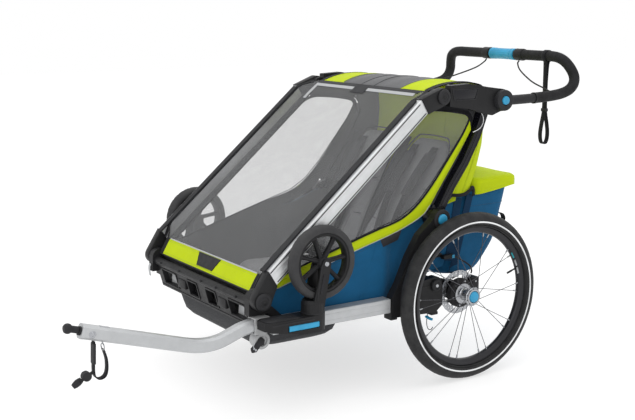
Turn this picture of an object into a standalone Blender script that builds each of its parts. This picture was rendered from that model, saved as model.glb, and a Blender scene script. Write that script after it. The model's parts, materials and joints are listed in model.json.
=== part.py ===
"""Two-seat child bicycle trailer: aluminium frame, folding hoop, fabric cabin, spoked wheels,
stowed strolling casters, push bar and tow arm.

Metres, +Z up. +Y is the rear of the trailer, -Y the tow end, +X its left side. The design is laid
out from the wheel axle (y = 0 there, z = 0 on the ground) and the origin empty then shifts it, so
that the world origin is under the middle of the whole trailer.
"""

import math

import bmesh
import bpy
from mathutils import Matrix, Vector

# Driving dimensions
TOW_NOSE_Y = -1.220
PUSH_BAR_REAR_Y = 0.490
AXLE_SHIFT_Y = -(TOW_NOSE_Y + PUSH_BAR_REAR_Y) / 2
WHEEL_RADIUS = 0.250
TYRE_WIDTH = 0.047
TYRE_INNER_RADIUS = 0.2065
RIM_OUTER_RADIUS = 0.2055
RIM_INNER_RADIUS = 0.189
RIM_WIDTH = 0.025
WHEEL_X = 0.373
HALF_WIDTH = 0.400
SPOKE_PAIRS = 10
WHEEL_STEPS = 44
ROTOR_RADIUS = 0.0665
CASTER_RADIUS = 0.102
CASTER_WIDTH = 0.036
CASTER_SPOKES = 7
RAIL_Z = (0.229, 0.271)
RAIL_X = (0.300, 0.340)
FLOOR_Z = 0.241
WALL = 0.007
PIN_RADIUS = 0.008
PIN_BORE_RADIUS = 0.0095
STEM_RADIUS = 0.0115
PUSH_BAR_RADIUS = 0.0165
CABLE_RADIUS = 0.0025

# Joint axes, each parallel to X, as (y, z)
AXLE = (0.0, WHEEL_RADIUS)
FRONT_PIVOT = (-0.685, 0.326)
TOP_PIVOT = (-0.087, 0.836)
REAR_PIVOT = (-0.084, 0.483)
UPRIGHT_TOP = (0.100, 0.790)
PUSH_BAR_PIVOT = (0.137, 0.817)
SUSPENSION_PIVOT = (-0.103, 0.289)
COVER_HINGE = (-0.111, 0.8455)
LID_HINGE = (0.100, 0.560)
GRIP_AXIS = (0.452, 0.932)
HITCH_LEVER_PIVOT = (-0.684, 0.216)
CASTER_AXLE = (0.367, -0.518, 0.417)
CASTER_STEM_Y = -0.547
LEVER_PIVOT = (0.3962, -0.6385)

# Layers across the width, outwards from the middle, for the left side
UPRIGHT_X = (0.285, 0.312)
ARM_X = (0.288, 0.312)
POST_X = (0.315, 0.340)
TUBE_X = (0.3155, 0.3395)
HITCH_X = 0.312

# Local X, Y and Z of a flat outline or a turned profile, laid along world Y, Z and X
ACROSS = Matrix(((0, 0, 1, 0), (1, 0, 0, 0), (0, 1, 0, 0), (0, 0, 0, 1)))

COLOURS = {
    "aluminium": ((0.80, 0.81, 0.82, 1), 0.35, 1.0),
    "steel": ((0.62, 0.63, 0.65, 1), 0.30, 1.0),
    "black_plastic": ((0.022, 0.022, 0.025, 1), 0.55, 0.0),
    "grey_plastic": ((0.42, 0.43, 0.44, 1), 0.50, 0.0),
    "blue_plastic": ((0.05, 0.32, 0.52, 1), 0.40, 0.0),
    "tyre_rubber": ((0.035, 0.035, 0.037, 1), 0.85, 0.0),
    "foam": ((0.020, 0.020, 0.022, 1), 0.80, 0.0),
    "blue_fabric": ((0.012, 0.105, 0.220, 1), 0.90, 0.0),
    "lime_fabric": ((0.580, 0.710, 0.005, 1), 0.85, 0.0),
    "grey_fabric": ((0.130, 0.135, 0.140, 1), 0.90, 0.0),
    "dark_fabric": ((0.050, 0.052, 0.058, 1), 0.90, 0.0),
    "film": ((0.200, 0.205, 0.210, 1), 0.25, 0.0),
    "webbing": ((0.015, 0.015, 0.017, 1), 0.90, 0.0),
}


def clear_scene():
    for obj in list(bpy.data.objects):
        bpy.data.objects.remove(obj, do_unlink=True)


def make_collection(name):
    collection = bpy.data.collections.new(name)
    bpy.context.scene.collection.children.link(collection)
    return collection


def make_material(name):
    colour, roughness, metallic = COLOURS[name]
    material = bpy.data.materials.new(name)
    material.use_nodes = True
    shader = material.node_tree.nodes["Principled BSDF"]
    shader.inputs["Base Color"].default_value = colour
    shader.inputs["Roughness"].default_value = roughness
    shader.inputs["Metallic"].default_value = metallic
    material.diffuse_color = colour
    return material


clear_scene()
PARTS = make_collection("child_bicycle_trailer")
HELPERS = make_collection("cutters_and_joined_shapes")
MATERIALS = {name: make_material(name) for name in COLOURS}
ORIGIN = bpy.data.objects.new("axle_origin", None)
PARTS.objects.link(ORIGIN)


def pivot_empty(name, position):
    """An empty on a joint's axis, that the pieces of one moving body hang from."""
    empty = bpy.data.objects.new(name, None)
    empty.empty_display_size = 0.03
    PARTS.objects.link(empty)
    empty.parent = ORIGIN
    empty.location = position
    return empty


def link(obj):
    PARTS.objects.link(obj)
    return obj


def from_bmesh(name, shape):
    mesh = bpy.data.meshes.new(name)
    shape.to_mesh(mesh)
    shape.free()
    return link(bpy.data.objects.new(name, mesh))


def box(name, low, high, bevel=0.0):
    low, high = Vector(low), Vector(high)
    shape = bmesh.new()
    bmesh.ops.create_cube(shape, size=1.0)
    bmesh.ops.scale(shape, vec=high - low, verts=shape.verts)
    bmesh.ops.translate(shape, vec=(low + high) / 2, verts=shape.verts)
    obj = from_bmesh(name, shape)
    if bevel:
        edge = obj.modifiers.new("rounded_edges", "BEVEL")
        edge.width = bevel
        edge.segments = 2
    return obj


def rod(name, start, end, radius, sides=16):
    """A round bar between two points."""
    start, end = Vector(start), Vector(end)
    turn = Vector((0, 0, 1)).rotation_difference(end - start).to_matrix().to_4x4()
    shape = bmesh.new()
    bmesh.ops.create_cone(
        shape,
        cap_ends=True,
        segments=sides,
        radius1=radius,
        radius2=radius,
        depth=(end - start).length,
        matrix=Matrix.Translation((start + end) / 2) @ turn,
    )
    return from_bmesh(name, shape)


def axis_rod(name, x_low, x_high, centre, radius, sides=20):
    """A round bar along X around (y, z)."""
    return rod(name, (x_low, *centre), (x_high, *centre), radius, sides)


def turned(name, profile, centre, steps, closed=True, middle_x=0.0):
    """A profile of (radius, x) turned about an axis along X through (y, z)."""
    mesh = bpy.data.meshes.new(name)
    points = [(radius, 0.0, x) for radius, x in profile]
    edges = [(i, i + 1) for i in range(len(points) - 1)]
    if closed:
        edges.append((len(points) - 1, 0))
    mesh.from_pydata(points, edges, [])
    obj = link(bpy.data.objects.new(name, mesh))
    obj.matrix_world = Matrix.Translation((middle_x, *centre)) @ ACROSS
    screw = obj.modifiers.new("turn", "SCREW")
    screw.steps = steps
    screw.render_steps = steps
    screw.use_merge_vertices = True
    screw.merge_threshold = 0.00001
    return obj


def as_mesh(curve_object):
    """The curve's evaluated surface as a mesh object with its caps welded."""
    bpy.context.view_layer.update()
    graph = bpy.context.evaluated_depsgraph_get()
    mesh = bpy.data.meshes.new_from_object(curve_object.evaluated_get(graph))
    shape = bmesh.new()
    shape.from_mesh(mesh)
    bmesh.ops.remove_doubles(shape, verts=shape.verts, dist=0.00001)
    bmesh.ops.recalc_face_normals(shape, faces=shape.faces)
    shape.to_mesh(mesh)
    shape.free()
    name = curve_object.name
    place = curve_object.matrix_world.copy()
    bpy.data.objects.remove(curve_object, do_unlink=True)
    obj = link(bpy.data.objects.new(name, mesh))
    obj.matrix_world = place
    return obj


def outline(name, points, low, high, holes=(), place=ACROSS):
    """A flat outline of (y, z) points, extruded along X from low to high, with holes through it.
    With place as the identity the points are (x, y) and the extrusion is along Z."""
    curve = bpy.data.curves.new(name, "CURVE")
    curve.dimensions = "2D"
    curve.fill_mode = "BOTH"
    curve.extrude = (high - low) / 2
    for loop in (points, *holes):
        spline = curve.splines.new("POLY")
        spline.points.add(len(loop) - 1)
        for point, (u, v) in zip(spline.points, loop):
            point.co = (u, v, 0, 1)
        spline.use_cyclic_u = True
    obj = link(bpy.data.objects.new(name, curve))
    obj.matrix_world = place @ Matrix.Translation((0, 0, (low + high) / 2))
    return as_mesh(obj)


def tube(name, points, radius, sides=8, scales=None):
    """A round tube along a list of 3-D points, with an optional radius scale for each point."""
    curve = bpy.data.curves.new(name, "CURVE")
    curve.dimensions = "3D"
    curve.bevel_depth = radius
    curve.bevel_resolution = (sides - 4) // 2
    curve.use_fill_caps = True
    spline = curve.splines.new("POLY")
    spline.points.add(len(points) - 1)
    for i, point in enumerate(points):
        spline.points[i].co = (*point, 1)
        spline.points[i].radius = scales[i] if scales else 1.0
    return as_mesh(link(bpy.data.objects.new(name, curve)))


def smooth(points, pieces):
    """A Catmull-Rom curve through the route's own points, with this many steps between them."""
    route = [Vector(p) for p in points]
    route = [2 * route[0] - route[1]] + route + [2 * route[-1] - route[-2]]
    found = []
    for a, b, c, d in zip(route, route[1:], route[2:], route[3:]):
        for i in range(pieces):
            t = i / pieces
            found.append(
                0.5
                * (
                    2 * b
                    + (c - a) * t
                    + (2 * a - 5 * b + 4 * c - d) * t**2
                    + (3 * b - a - 3 * c + d) * t**3
                )
            )
    return found + [route[-2]]


def band(points, width):
    """The outline of a strip of this width along a line of (y, z) points."""
    line = [Vector(p) for p in points]
    left, right = [], []
    for i, point in enumerate(line):
        before = (point - line[i - 1]).normalized() if i else None
        after = (line[i + 1] - point).normalized() if i + 1 < len(line) else None
        along = ((before or after) + (after or before)).normalized()
        across = Vector((-along.y, along.x))
        stretch = 1 / max(along.dot(after or before), 0.5)
        left.append(point + across * width / 2 * stretch)
        right.append(point - across * width / 2 * stretch)
    return [tuple(p) for p in left + right[::-1]]


def arc(centre, radius, start, end, steps=8):
    """Points on a circle, from one angle to another in degrees."""
    angles = [math.radians(start + (end - start) * i / steps) for i in range(steps + 1)]
    return [(centre[0] + radius * math.cos(a), centre[1] + radius * math.sin(a)) for a in angles]


def capsule(first, first_radius, second, second_radius, steps=8):
    """The outline of two discs and the straight sides between them."""
    along = Vector(second) - Vector(first)
    heading = math.degrees(math.atan2(along.y, along.x))
    lean = math.degrees(math.asin((first_radius - second_radius) / along.length))
    far = arc(second, second_radius, heading - 90 + lean, heading + 90 - lean, steps)
    near = arc(first, first_radius, heading + 90 - lean, heading + 270 + lean, steps)
    return far + near


def combine(target, operation, others):
    for other in others:
        PARTS.objects.unlink(other)
        HELPERS.objects.link(other)
        other.hide_render = True
        other.display_type = "WIRE"
        other.parent = ORIGIN
        step = target.modifiers.new(other.name, "BOOLEAN")
        step.operation = operation
        step.object = other
    return target


def union(target, *others):
    return combine(target, "UNION", others)


def cut(target, *others):
    return combine(target, "DIFFERENCE", others)


def finish(obj, material, body=None):
    """Gives a sub-part its material and hangs it from its body's empty."""
    obj.data.materials.clear()
    obj.data.materials.append(MATERIALS[material])
    bpy.context.view_layer.update()
    place = obj.matrix_world.copy()
    obj.parent = body or ORIGIN
    obj.matrix_parent_inverse = (body or ORIGIN).matrix_world.inverted()
    obj.matrix_world = place
    return obj


def mirrored(left, name, body=None):
    """The right-hand copy of a finished left-hand sub-part, sharing its shape."""
    bpy.context.view_layer.update()
    graph = bpy.context.evaluated_depsgraph_get()
    mesh = bpy.data.meshes.new_from_object(left.evaluated_get(graph))
    right = link(bpy.data.objects.new(name, mesh))
    right.matrix_world = Matrix.Diagonal((-1, 1, 1, 1)) @ left.matrix_world
    return finish(right, left.data.materials[0].name, body)


def pair(left, material, body_pair=(None, None)):
    """Finishes a left-hand sub-part whose name ends in _left, and makes the right-hand one."""
    finish(left, material, body_pair[0])
    mirrored(left, left.name.replace("_left", "_right"), body_pair[1])


def body_pair(name, x, y, z):
    return (
        pivot_empty(name + "_left_axis", (x, y, z)),
        pivot_empty(name + "_right_axis", (-x, y, z)),
    )


# ---------------------------------------------------------------------------- base frame


def make_rails():
    rail = box("side_rail_left", (RAIL_X[0], -0.655, RAIL_Z[0]), (RAIL_X[1], -0.2625, RAIL_Z[1]), 0.004)
    pair(rail, "aluminium")


def make_bumper():
    """The moulded cross panel with four windows, its top bar and the two cheeks with pivot pins."""
    panel = outline("front_bumper", band([(-0.693, 0.322), (-0.670, 0.237)], 0.014), -0.290, 0.290)
    pieces = [axis_rod("bumper_top_bar", -0.290, 0.290, (-0.694, 0.316), 0.012, 12)]
    for side in (1, -1):
        cheek = [(-0.712, 0.283), (-0.6535, 0.283)] + arc(FRONT_PIVOT, 0.026, 10, 170)
        low, high = sorted((side * 0.2868, side * 0.3125))
        pieces.append(outline(f"bumper_cheek_{side}", cheek, low, high))
        foot = [(-0.652, 0.2715), (-0.610, 0.2715), (-0.640, 0.300), (-0.680, 0.330), (-0.690, 0.284)]
        foot.append((-0.652, 0.284))
        low, high = sorted((side * 0.2995, side * 0.3125))
        pieces.append(outline(f"bumper_foot_{side}", foot, low, high))
        pieces.append(
            axis_rod(f"front_pin_{side}", side * 0.300, side * 0.337, FRONT_PIVOT, PIN_RADIUS, 12)
        )
    union(panel, *pieces)
    cutters = []
    for x_low, x_high in ((0.165, 0.255), (0.030, 0.085), (-0.085, -0.030), (-0.255, -0.165)):
        cutters.append(box(f"bumper_window_{x_low}", (x_low, -0.73, 0.254), (x_high, -0.64, 0.296)))
    cut(panel, *cutters)
    finish(panel, "black_plastic")


def make_rear_beam():
    beam = axis_rod("rear_beam", -0.2865, 0.2865, SUSPENSION_PIVOT, 0.018, 16)
    finish(beam, "black_plastic")


def make_rear_posts():
    """The moulded posts from the rails' ends up to the fold hinge, with its button's pocket."""
    shape = [(-0.262, 0.272), (-0.262, 0.214), (-0.100, 0.206), (-0.075, 0.226), (-0.074, 0.270)]
    shape += arc(SUSPENSION_PIVOT, 0.026, 10, 80, 4)
    shape += [(-0.160, 0.306), (-0.165, 0.345), (-0.135, 0.395), (-0.095, 0.435)]
    shape += arc(REAR_PIVOT, 0.029, -60, 170)
    shape += [(-0.165, 0.445), (-0.203, 0.385), (-0.235, 0.315)]
    post = outline("rear_post_left", shape, *POST_X)
    union(
        post,
        axis_rod("rear_boss", 0.320, 0.3435, REAR_PIVOT, 0.024),
        axis_rod("rear_hinge_pin", 0.287, 0.318, REAR_PIVOT, PIN_RADIUS, 12),
        axis_rod("suspension_pin", 0.2875, 0.318, SUSPENSION_PIVOT, PIN_RADIUS, 12),
        axis_rod("suspension_bolt", 0.335, 0.3445, SUSPENSION_PIVOT, 0.018),
    )
    cut(post, axis_rod("fold_button_pocket", 0.3292, 0.360, REAR_PIVOT, 0.0168))
    pair(post, "black_plastic")


def make_fold_buttons():
    bodies = body_pair("fold_button", 0.334, *REAR_PIVOT)
    button = axis_rod("fold_button_left", 0.3340, 0.3490, REAR_PIVOT, 0.016)
    pair(button, "blue_plastic", bodies)


def make_wheel_brackets():
    """The moulded wings outside the rails, with a caster's socket and the release lever's recess. The right one has no nose, as it carries no tow arm."""
    shape = [(0.3403, -0.655), (0.3403, -0.696), (0.352, -0.710), (0.386, -0.706), (0.3985, -0.690)]
    shape += arc((0.3625, CASTER_STEM_Y), 0.036, 0, 125)
    shape += [(0.3403, -0.520)]
    wing = outline("wheel_bracket_left", shape, 0.238, 0.282, place=Matrix.Identity(4))
    stem = (CASTER_AXLE[0], CASTER_STEM_Y)
    nose_slope = [(-0.598, 0.2376), (-0.598, 0.225), (-0.730, 0.225), (-0.730, 0.2626)]
    cut(
        wing,
        box("lever_recess", (0.3920, -0.6425, 0.2495), (0.4100, -0.5440, 0.2665)),
        rod("stem_socket", (*stem, 0.2480), (*stem, 0.2900), STEM_RADIUS + 0.0010),
        outline("nose_slope", nose_slope, 0.330, 0.410),
    )
    pair(wing, "black_plastic")
    nose = box("right_nose", (-0.4100, -0.7300, 0.2200), (-0.3300, -0.6480, 0.2900))
    cut(bpy.data.objects["wheel_bracket_right"], nose)


def make_bracket_levers():
    bodies = body_pair("bracket_lever", *LEVER_PIVOT, 0.258)
    lever = box("bracket_lever_left", (0.3926, -0.6402, 0.2502), (0.4000, -0.5450, 0.2658))
    pair(lever, "blue_plastic", bodies)


# ---------------------------------------------------------------------------- cabin floor and soft base


def make_tub():
    """The lower fabric body: side walls, floor with the footwell's opening, and a sloping rear wall."""
    front = [(-0.652, FLOOR_Z), (-0.652, 0.342), (-0.570, 0.3565), (-0.362, 0.412), (-0.212, 0.452)]
    front += [(-0.155, 0.469), (-0.155, FLOOR_Z)]
    rear = [(-0.240, FLOOR_Z), (-0.240, 0.4445), (-0.155, 0.469), (-0.110, 0.488), (-0.035, 0.488)]
    rear += [(-0.035, 0.462), (-0.157, FLOOR_Z + 0.012), (-0.163, FLOOR_Z)]
    tub = outline("lower_body", front, -0.298, 0.298)
    union(tub, outline("lower_body_rear", rear, -0.2785, 0.2785))
    room = [(-0.645, FLOOR_Z + WALL), (-0.645, 0.6), (-0.162, 0.6), (-0.162, FLOOR_Z + WALL)]
    room_rear = [(-0.200, FLOOR_Z + WALL), (-0.200, 0.6), (0.032, 0.6), (-0.043, 0.462)]
    room_rear += [(-0.165, FLOOR_Z + WALL)]
    cut(
        tub,
        outline("cabin_room_front", room, -0.291, 0.291),
        outline("cabin_room_rear", room_rear, -0.2715, 0.2715),
        box("footwell_opening", (-0.238, -0.640, 0.2), (0.238, -0.385, 0.3)),
    )
    finish(tub, "blue_fabric")


def make_footwell():
    outer = [(-0.652, 0.2403), (-0.638, 0.176), (-0.622, 0.158), (-0.600, 0.154), (-0.410, 0.154)]
    outer += [(-0.385, 0.166), (-0.362, 0.2403)]
    inner = [(-0.646, 0.250), (-0.632, 0.180), (-0.618, 0.164), (-0.600, 0.160), (-0.412, 0.160)]
    inner += [(-0.390, 0.170), (-0.368, 0.250)]
    well = outline("footwell", outer, -0.248, 0.248)
    cut(well, outline("footwell_room", inner, -0.242, 0.242))
    finish(well, "dark_fabric")


def make_seat():
    base = box("seat_cushion", (-0.262, -0.440, FLOOR_Z + WALL + 0.001), (0.262, -0.205, 0.298), 0.012)
    finish(base, "grey_fabric")
    back = outline("seat_back", band([(-0.168, 0.303), (0.062, 0.696)], 0.036), -0.262, 0.262)
    finish(back, "grey_fabric")


def make_side_windows():
    """The cabin's side panels: lime band, window and edging, inside the tubes and the posts."""
    shape = [(-0.640, 0.350), (-0.570, 0.3605), (-0.362, 0.416), (-0.212, 0.456), (-0.152, 0.474)]
    shape += [(-0.124, 0.490), (-0.100, 0.522), (-0.070, 0.562), (0.000, 0.660), (0.050, 0.730)]
    shape += [(0.052, 0.768), (-0.020, 0.790), (-0.105, 0.796)]
    window = outline("side_window_left", shape, 0.2930, 0.2985)
    pair(window, "film")


def make_back_panel():
    line = [(0.118, 0.838), (0.130, 0.780), (0.128, 0.700), (0.108, 0.620), (0.085, 0.562)]
    finish(outline("back_panel", band(line, 0.006), -0.262, 0.262), "lime_fabric")


def make_cargo_bag():
    outer = [(-0.018, 0.288), (0.000, 0.284), (0.085, 0.2815), (0.125, 0.285), (0.169, 0.312)]
    outer += [(0.216, 0.370), (0.245, 0.470), (0.264, 0.540), (0.062, 0.540)]
    inner = [(-0.008, 0.293), (0.004, 0.290), (0.085, 0.2875), (0.122, 0.291), (0.164, 0.316)]
    inner += [(0.210, 0.373), (0.239, 0.472), (0.260, 0.560), (0.074, 0.560)]
    bag = outline("cargo_bag", outer, -0.255, 0.255)
    cut(bag, outline("cargo_room", inner, -0.249, 0.249))
    finish(bag, "blue_fabric")


def make_bag_lid():
    body = pivot_empty("bag_lid_axis", (0, *LID_HINGE))
    lid = box("bag_lid", (-0.262, 0.100, 0.5430), (0.262, 0.285, 0.570), 0.006)
    cut(lid, box("lid_hollow", (-0.256, 0.106, 0.530), (0.256, 0.279, 0.562)))
    finish(lid, "lime_fabric", body)


# ---------------------------------------------------------------------------- folding frame


def make_frame_tubes():
    """The long side tubes with their moulded ends on the front and top pivots."""
    body = pivot_empty("front_frame_axis", (0, *FRONT_PIVOT))
    start, end = Vector(FRONT_PIVOT), Vector(TOP_PIVOT)
    along = (end - start).normalized()
    offset = Vector((-along.y, along.x)) * 0.0235
    line = [start + along * 0.028 + offset, end - along * 0.062 + offset]
    bar = outline("frame_tube_left", band(line, 0.046), *TUBE_X)
    pieces = []
    for name, pivot, radius, reach in (("front", start, 0.026, 0.060), ("top", end, 0.024, -0.080)):
        joint = pivot + along * reach + offset * 0.9
        pieces.append(outline(name + "_bracket", capsule(pivot, radius, joint, 0.0215), *TUBE_X))
        pieces.append(axis_rod(name + "_cap", 0.3385, 0.3445, pivot, radius - 0.004))
    union(bar, *pieces)
    cut(bar, *[axis_rod("bore", 0.310, 0.3385, pivot, PIN_BORE_RADIUS, 16) for pivot in (start, end)])
    pair(bar, "aluminium", (body, body))


def make_front_cover():
    body = pivot_empty("front_cover_axis", (0, *COVER_HINGE))
    line = [COVER_HINGE, (-0.656, 0.382), (-0.684, 0.3375)]
    finish(outline("front_cover", band(line, 0.006), -0.285, 0.285), "film", body)


def make_top_frame():
    """The side plates with the top pivot's lug and the push bar's boss, and the roof between them."""
    body = pivot_empty("top_frame_axis", (0, *TOP_PIVOT))
    shape = [(-0.060, 0.8665), (0.010, 0.870), (0.080, 0.858)] + arc(PUSH_BAR_PIVOT, 0.033, 85, -100)
    shape += [(0.100, 0.774), (0.085, 0.777), (0.044, 0.787), (0.013, 0.797), (-0.062, 0.807)]
    plate = outline("side_plate_left", shape, 0.3150, 0.3400)
    cut(plate, axis_rod("tube_end_room", 0.3145, 0.350, TOP_PIVOT, 0.0285, 24))
    lug = capsule(TOP_PIVOT, 0.021, (-0.020, 0.832), 0.024)
    union(
        plate,
        outline("lug", lug, 0.2965, 0.3140),
        box("lug_root", (0.298, -0.048, 0.815), (0.330, -0.006, 0.850)),
        axis_rod("top_pin", 0.300, 0.337, TOP_PIVOT, PIN_RADIUS, 12),
        axis_rod("push_bar_boss", 0.330, 0.3530, PUSH_BAR_PIVOT, 0.030, 24),
    )
    cut(plate, axis_rod("push_button_pocket", 0.3410, 0.370, PUSH_BAR_PIVOT, 0.0136))
    pair(plate, "black_plastic", (body, body))
    line = [(-0.093, 0.848), (-0.047, 0.861), (0.000, 0.867), (0.060, 0.866), (0.108, 0.857)]
    finish(outline("roof", band(line, 0.010), -0.278, 0.278), "dark_fabric", body)


def make_uprights():
    body = pivot_empty("uprights_axis", (0, *REAR_PIVOT))
    line = [(-0.066, 0.502), (-0.023, 0.572), (0.025, 0.636), (0.069, 0.712), UPRIGHT_TOP]
    post = outline("upright_left", band(line, 0.026), *UPRIGHT_X)
    union(post, axis_rod("upright_foot", *UPRIGHT_X, REAR_PIVOT, 0.0275, 24))
    cut(post, axis_rod("upright_bore", 0.280, 0.320, REAR_PIVOT, PIN_BORE_RADIUS, 16))
    pair(post, "black_plastic", (body, body))


# ---------------------------------------------------------------------------- push bar


def push_bar_route():
    """Points and radius scales from the left hub round to the right one: arms, foam and grip seat."""
    side = [(0.303, 0.152, 0.810), (0.303, 0.185, 0.811), (0.303, 0.1851, 0.811)]
    side += [(0.303, 0.300, 0.813), (0.303, 0.390, 0.818), (0.303, 0.440, 0.828), (0.303, 0.465, 0.845)]
    side += [(0.300, PUSH_BAR_REAR_Y - PUSH_BAR_RADIUS, 0.868), (0.292, 0.468, 0.892)]
    side += [(0.277, 0.459, 0.914), (0.255, 0.454, 0.927), (0.225, 0.452, 0.932)]
    side += [(0.0951, *GRIP_AXIS), (0.095, *GRIP_AXIS), (0.0611, *GRIP_AXIS), (0.061, *GRIP_AXIS)]
    sizes = [0.66, 0.66] + [1.0] * 11 + [1.18, 1.18, 0.7]
    return side + [(-x, y, z) for x, y, z in side[::-1]], sizes + sizes[::-1]


def make_push_bar():
    body = pivot_empty("push_bar_axis", (0, *PUSH_BAR_PIVOT))
    points, sizes = push_bar_route()
    bar = tube("push_bar", points, PUSH_BAR_RADIUS, 10, sizes)
    hubs = []
    for side in (1, -1):
        low, high = sorted((side * 0.2868, side * 0.3135))
        hubs.append(axis_rod(f"push_bar_hub_{side}", low, high, PUSH_BAR_PIVOT, 0.025))
    finish(union(bar, *hubs), "foam", body)
    buttons = body_pair("push_bar_button", 0.345, *PUSH_BAR_PIVOT)
    button = axis_rod("push_bar_button_left", 0.3450, 0.3600, PUSH_BAR_PIVOT, 0.013)
    pair(button, "blue_plastic", buttons)
    return body


def make_brake_grip(push_bar):
    body = pivot_empty("brake_grip_axis", (0, *GRIP_AXIS))
    body.parent = push_bar
    body.location = Vector((0, *GRIP_AXIS)) - Vector((0, *PUSH_BAR_PIVOT))
    profile = [(0.0190, 0.057), (0.0178, 0.0), (0.0190, -0.057), (0.0125, -0.057), (0.0125, 0.057)]
    finish(turned("brake_grip", profile, GRIP_AXIS, 20), "blue_plastic", body)


def make_push_bar_cables(push_bar):
    """The two brake lines from the grip's collars down to the arms."""
    route = [(0.079, 0.4460, 0.9122), (0.082, 0.438, 0.902), (0.112, 0.424, 0.881)]
    route += [(0.190, 0.400, 0.852), (0.258, 0.392, 0.834), (0.2855, 0.393, 0.8235)]
    cable = tube("push_bar_cable_left", smooth(route, 3), CABLE_RADIUS, 6)
    pair(cable, "black_plastic", (push_bar, push_bar))


def make_wrist_strap(push_bar):
    """A webbing loop looped over the push bar; it lies in the Y-Z plane, its width along X."""
    centre = (GRIP_AXIS[0], GRIP_AXIS[1])
    outer = arc(centre, 0.0192, -60, 240, 14)
    outer += [(0.4435, 0.905), (0.4440, 0.760), (0.4350, 0.730), (0.4310, 0.690), (0.4340, 0.660)]
    outer += arc((0.449, 0.666), 0.0155, 200, 340, 5)
    outer += [(0.4670, 0.690), (0.4630, 0.730), (0.4540, 0.760), (0.4545, 0.905)]
    eye = arc(centre, 0.0171, 0, 345, 15)
    slot = [(0.4490, 0.752), (0.4390, 0.728), (0.4350, 0.690), (0.4375, 0.663), (0.4490, 0.6545)]
    slot += [(0.4605, 0.663), (0.4630, 0.690), (0.4590, 0.728)]
    strap = outline("wrist_strap", outer, 0.191, 0.209, holes=(eye, slot))
    finish(strap, "webbing", push_bar)


# ---------------------------------------------------------------------------- running gear


def make_suspension():
    """The swing arms that carry the hubs: pivot eye, hub adaptor, axle stub and brake calliper."""
    bodies = body_pair("suspension", 0.300, *SUSPENSION_PIVOT)
    arm = outline("suspension_arm_left", capsule(SUSPENSION_PIVOT, 0.019, AXLE, 0.029), *ARM_X)
    union(
        arm,
        axis_rod("hub_adaptor", 0.2620, 0.3180, AXLE, 0.0275, 24),
        axis_rod("axle_stub", 0.3100, 0.3400, AXLE, PIN_RADIUS, 12),
        box("calliper_bracket", (0.2890, 0.020, 0.240), (0.3110, 0.046, 0.270)),
        box("calliper", (0.2885, 0.0405, 0.245), (0.3340, 0.0730, 0.290), 0.004),
    )
    cut(
        arm,
        axis_rod("rotor_room", 0.3180, 0.3230, AXLE, 0.0690, 32),
        axis_rod("drum_room", 0.3182, 0.3500, AXLE, 0.0455, 32),
        axis_rod("pivot_bore", 0.280, 0.320, SUSPENSION_PIVOT, PIN_BORE_RADIUS, 16),
    )
    union(arm, axis_rod("axle_stub_again", 0.3100, 0.3400, AXLE, PIN_RADIUS, 12))
    pair(arm, "black_plastic", bodies)
    route = [(0.2785, 0.018, 0.350), (0.2850, 0.046, 0.333), (0.2940, 0.068, 0.316)]
    route += [(0.2995, 0.071, 0.302), (0.3000, 0.0685, 0.2930)]
    cable = tube("brake_cable_left", smooth(route, 4), CABLE_RADIUS, 6)
    pair(cable, "black_plastic")
    return bodies


def tyre_profile():
    """An oval tyre section, counted from its crown round to the bead and back."""
    middle = (WHEEL_RADIUS + TYRE_INNER_RADIUS) / 2
    height = (WHEEL_RADIUS - TYRE_INNER_RADIUS) / 2
    points = 10
    turns = [2 * math.pi * i / points for i in range(points)]
    return [(middle + height * math.cos(t), -TYRE_WIDTH / 2 * math.sin(t)) for t in turns]


def make_spokes(name):
    """Paired tangent spokes from the hub's two flanges to the rim, all in one helper mesh."""
    shape = bmesh.new()
    for i in range(SPOKE_PAIRS * 2):
        outer = i % 2 == 0
        rim_turn = math.radians((i // 2) * 360 / SPOKE_PAIRS + (4 if outer else -4))
        hub_turn = rim_turn + math.radians(-38 if outer else 38)
        hub_radius, hub_x, rim_x = (0.0195, 0.3870, 0.3760) if outer else (0.0265, 0.3455, 0.3700)
        start = Vector((hub_x, hub_radius * math.cos(hub_turn), hub_radius * math.sin(hub_turn)))
        end_radius = RIM_INNER_RADIUS - 0.0010
        end = Vector((rim_x, end_radius * math.cos(rim_turn), end_radius * math.sin(rim_turn)))
        turn = Vector((0, 0, 1)).rotation_difference(end - start).to_matrix().to_4x4()
        bmesh.ops.create_cone(
            shape,
            cap_ends=True,
            segments=5,
            radius1=0.0012,
            radius2=0.0012,
            depth=(end - start).length,
            matrix=Matrix.Translation((start + end) / 2) @ turn,
        )
    bmesh.ops.translate(shape, vec=(0, *AXLE), verts=shape.verts)
    return from_bmesh(name, shape)


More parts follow.
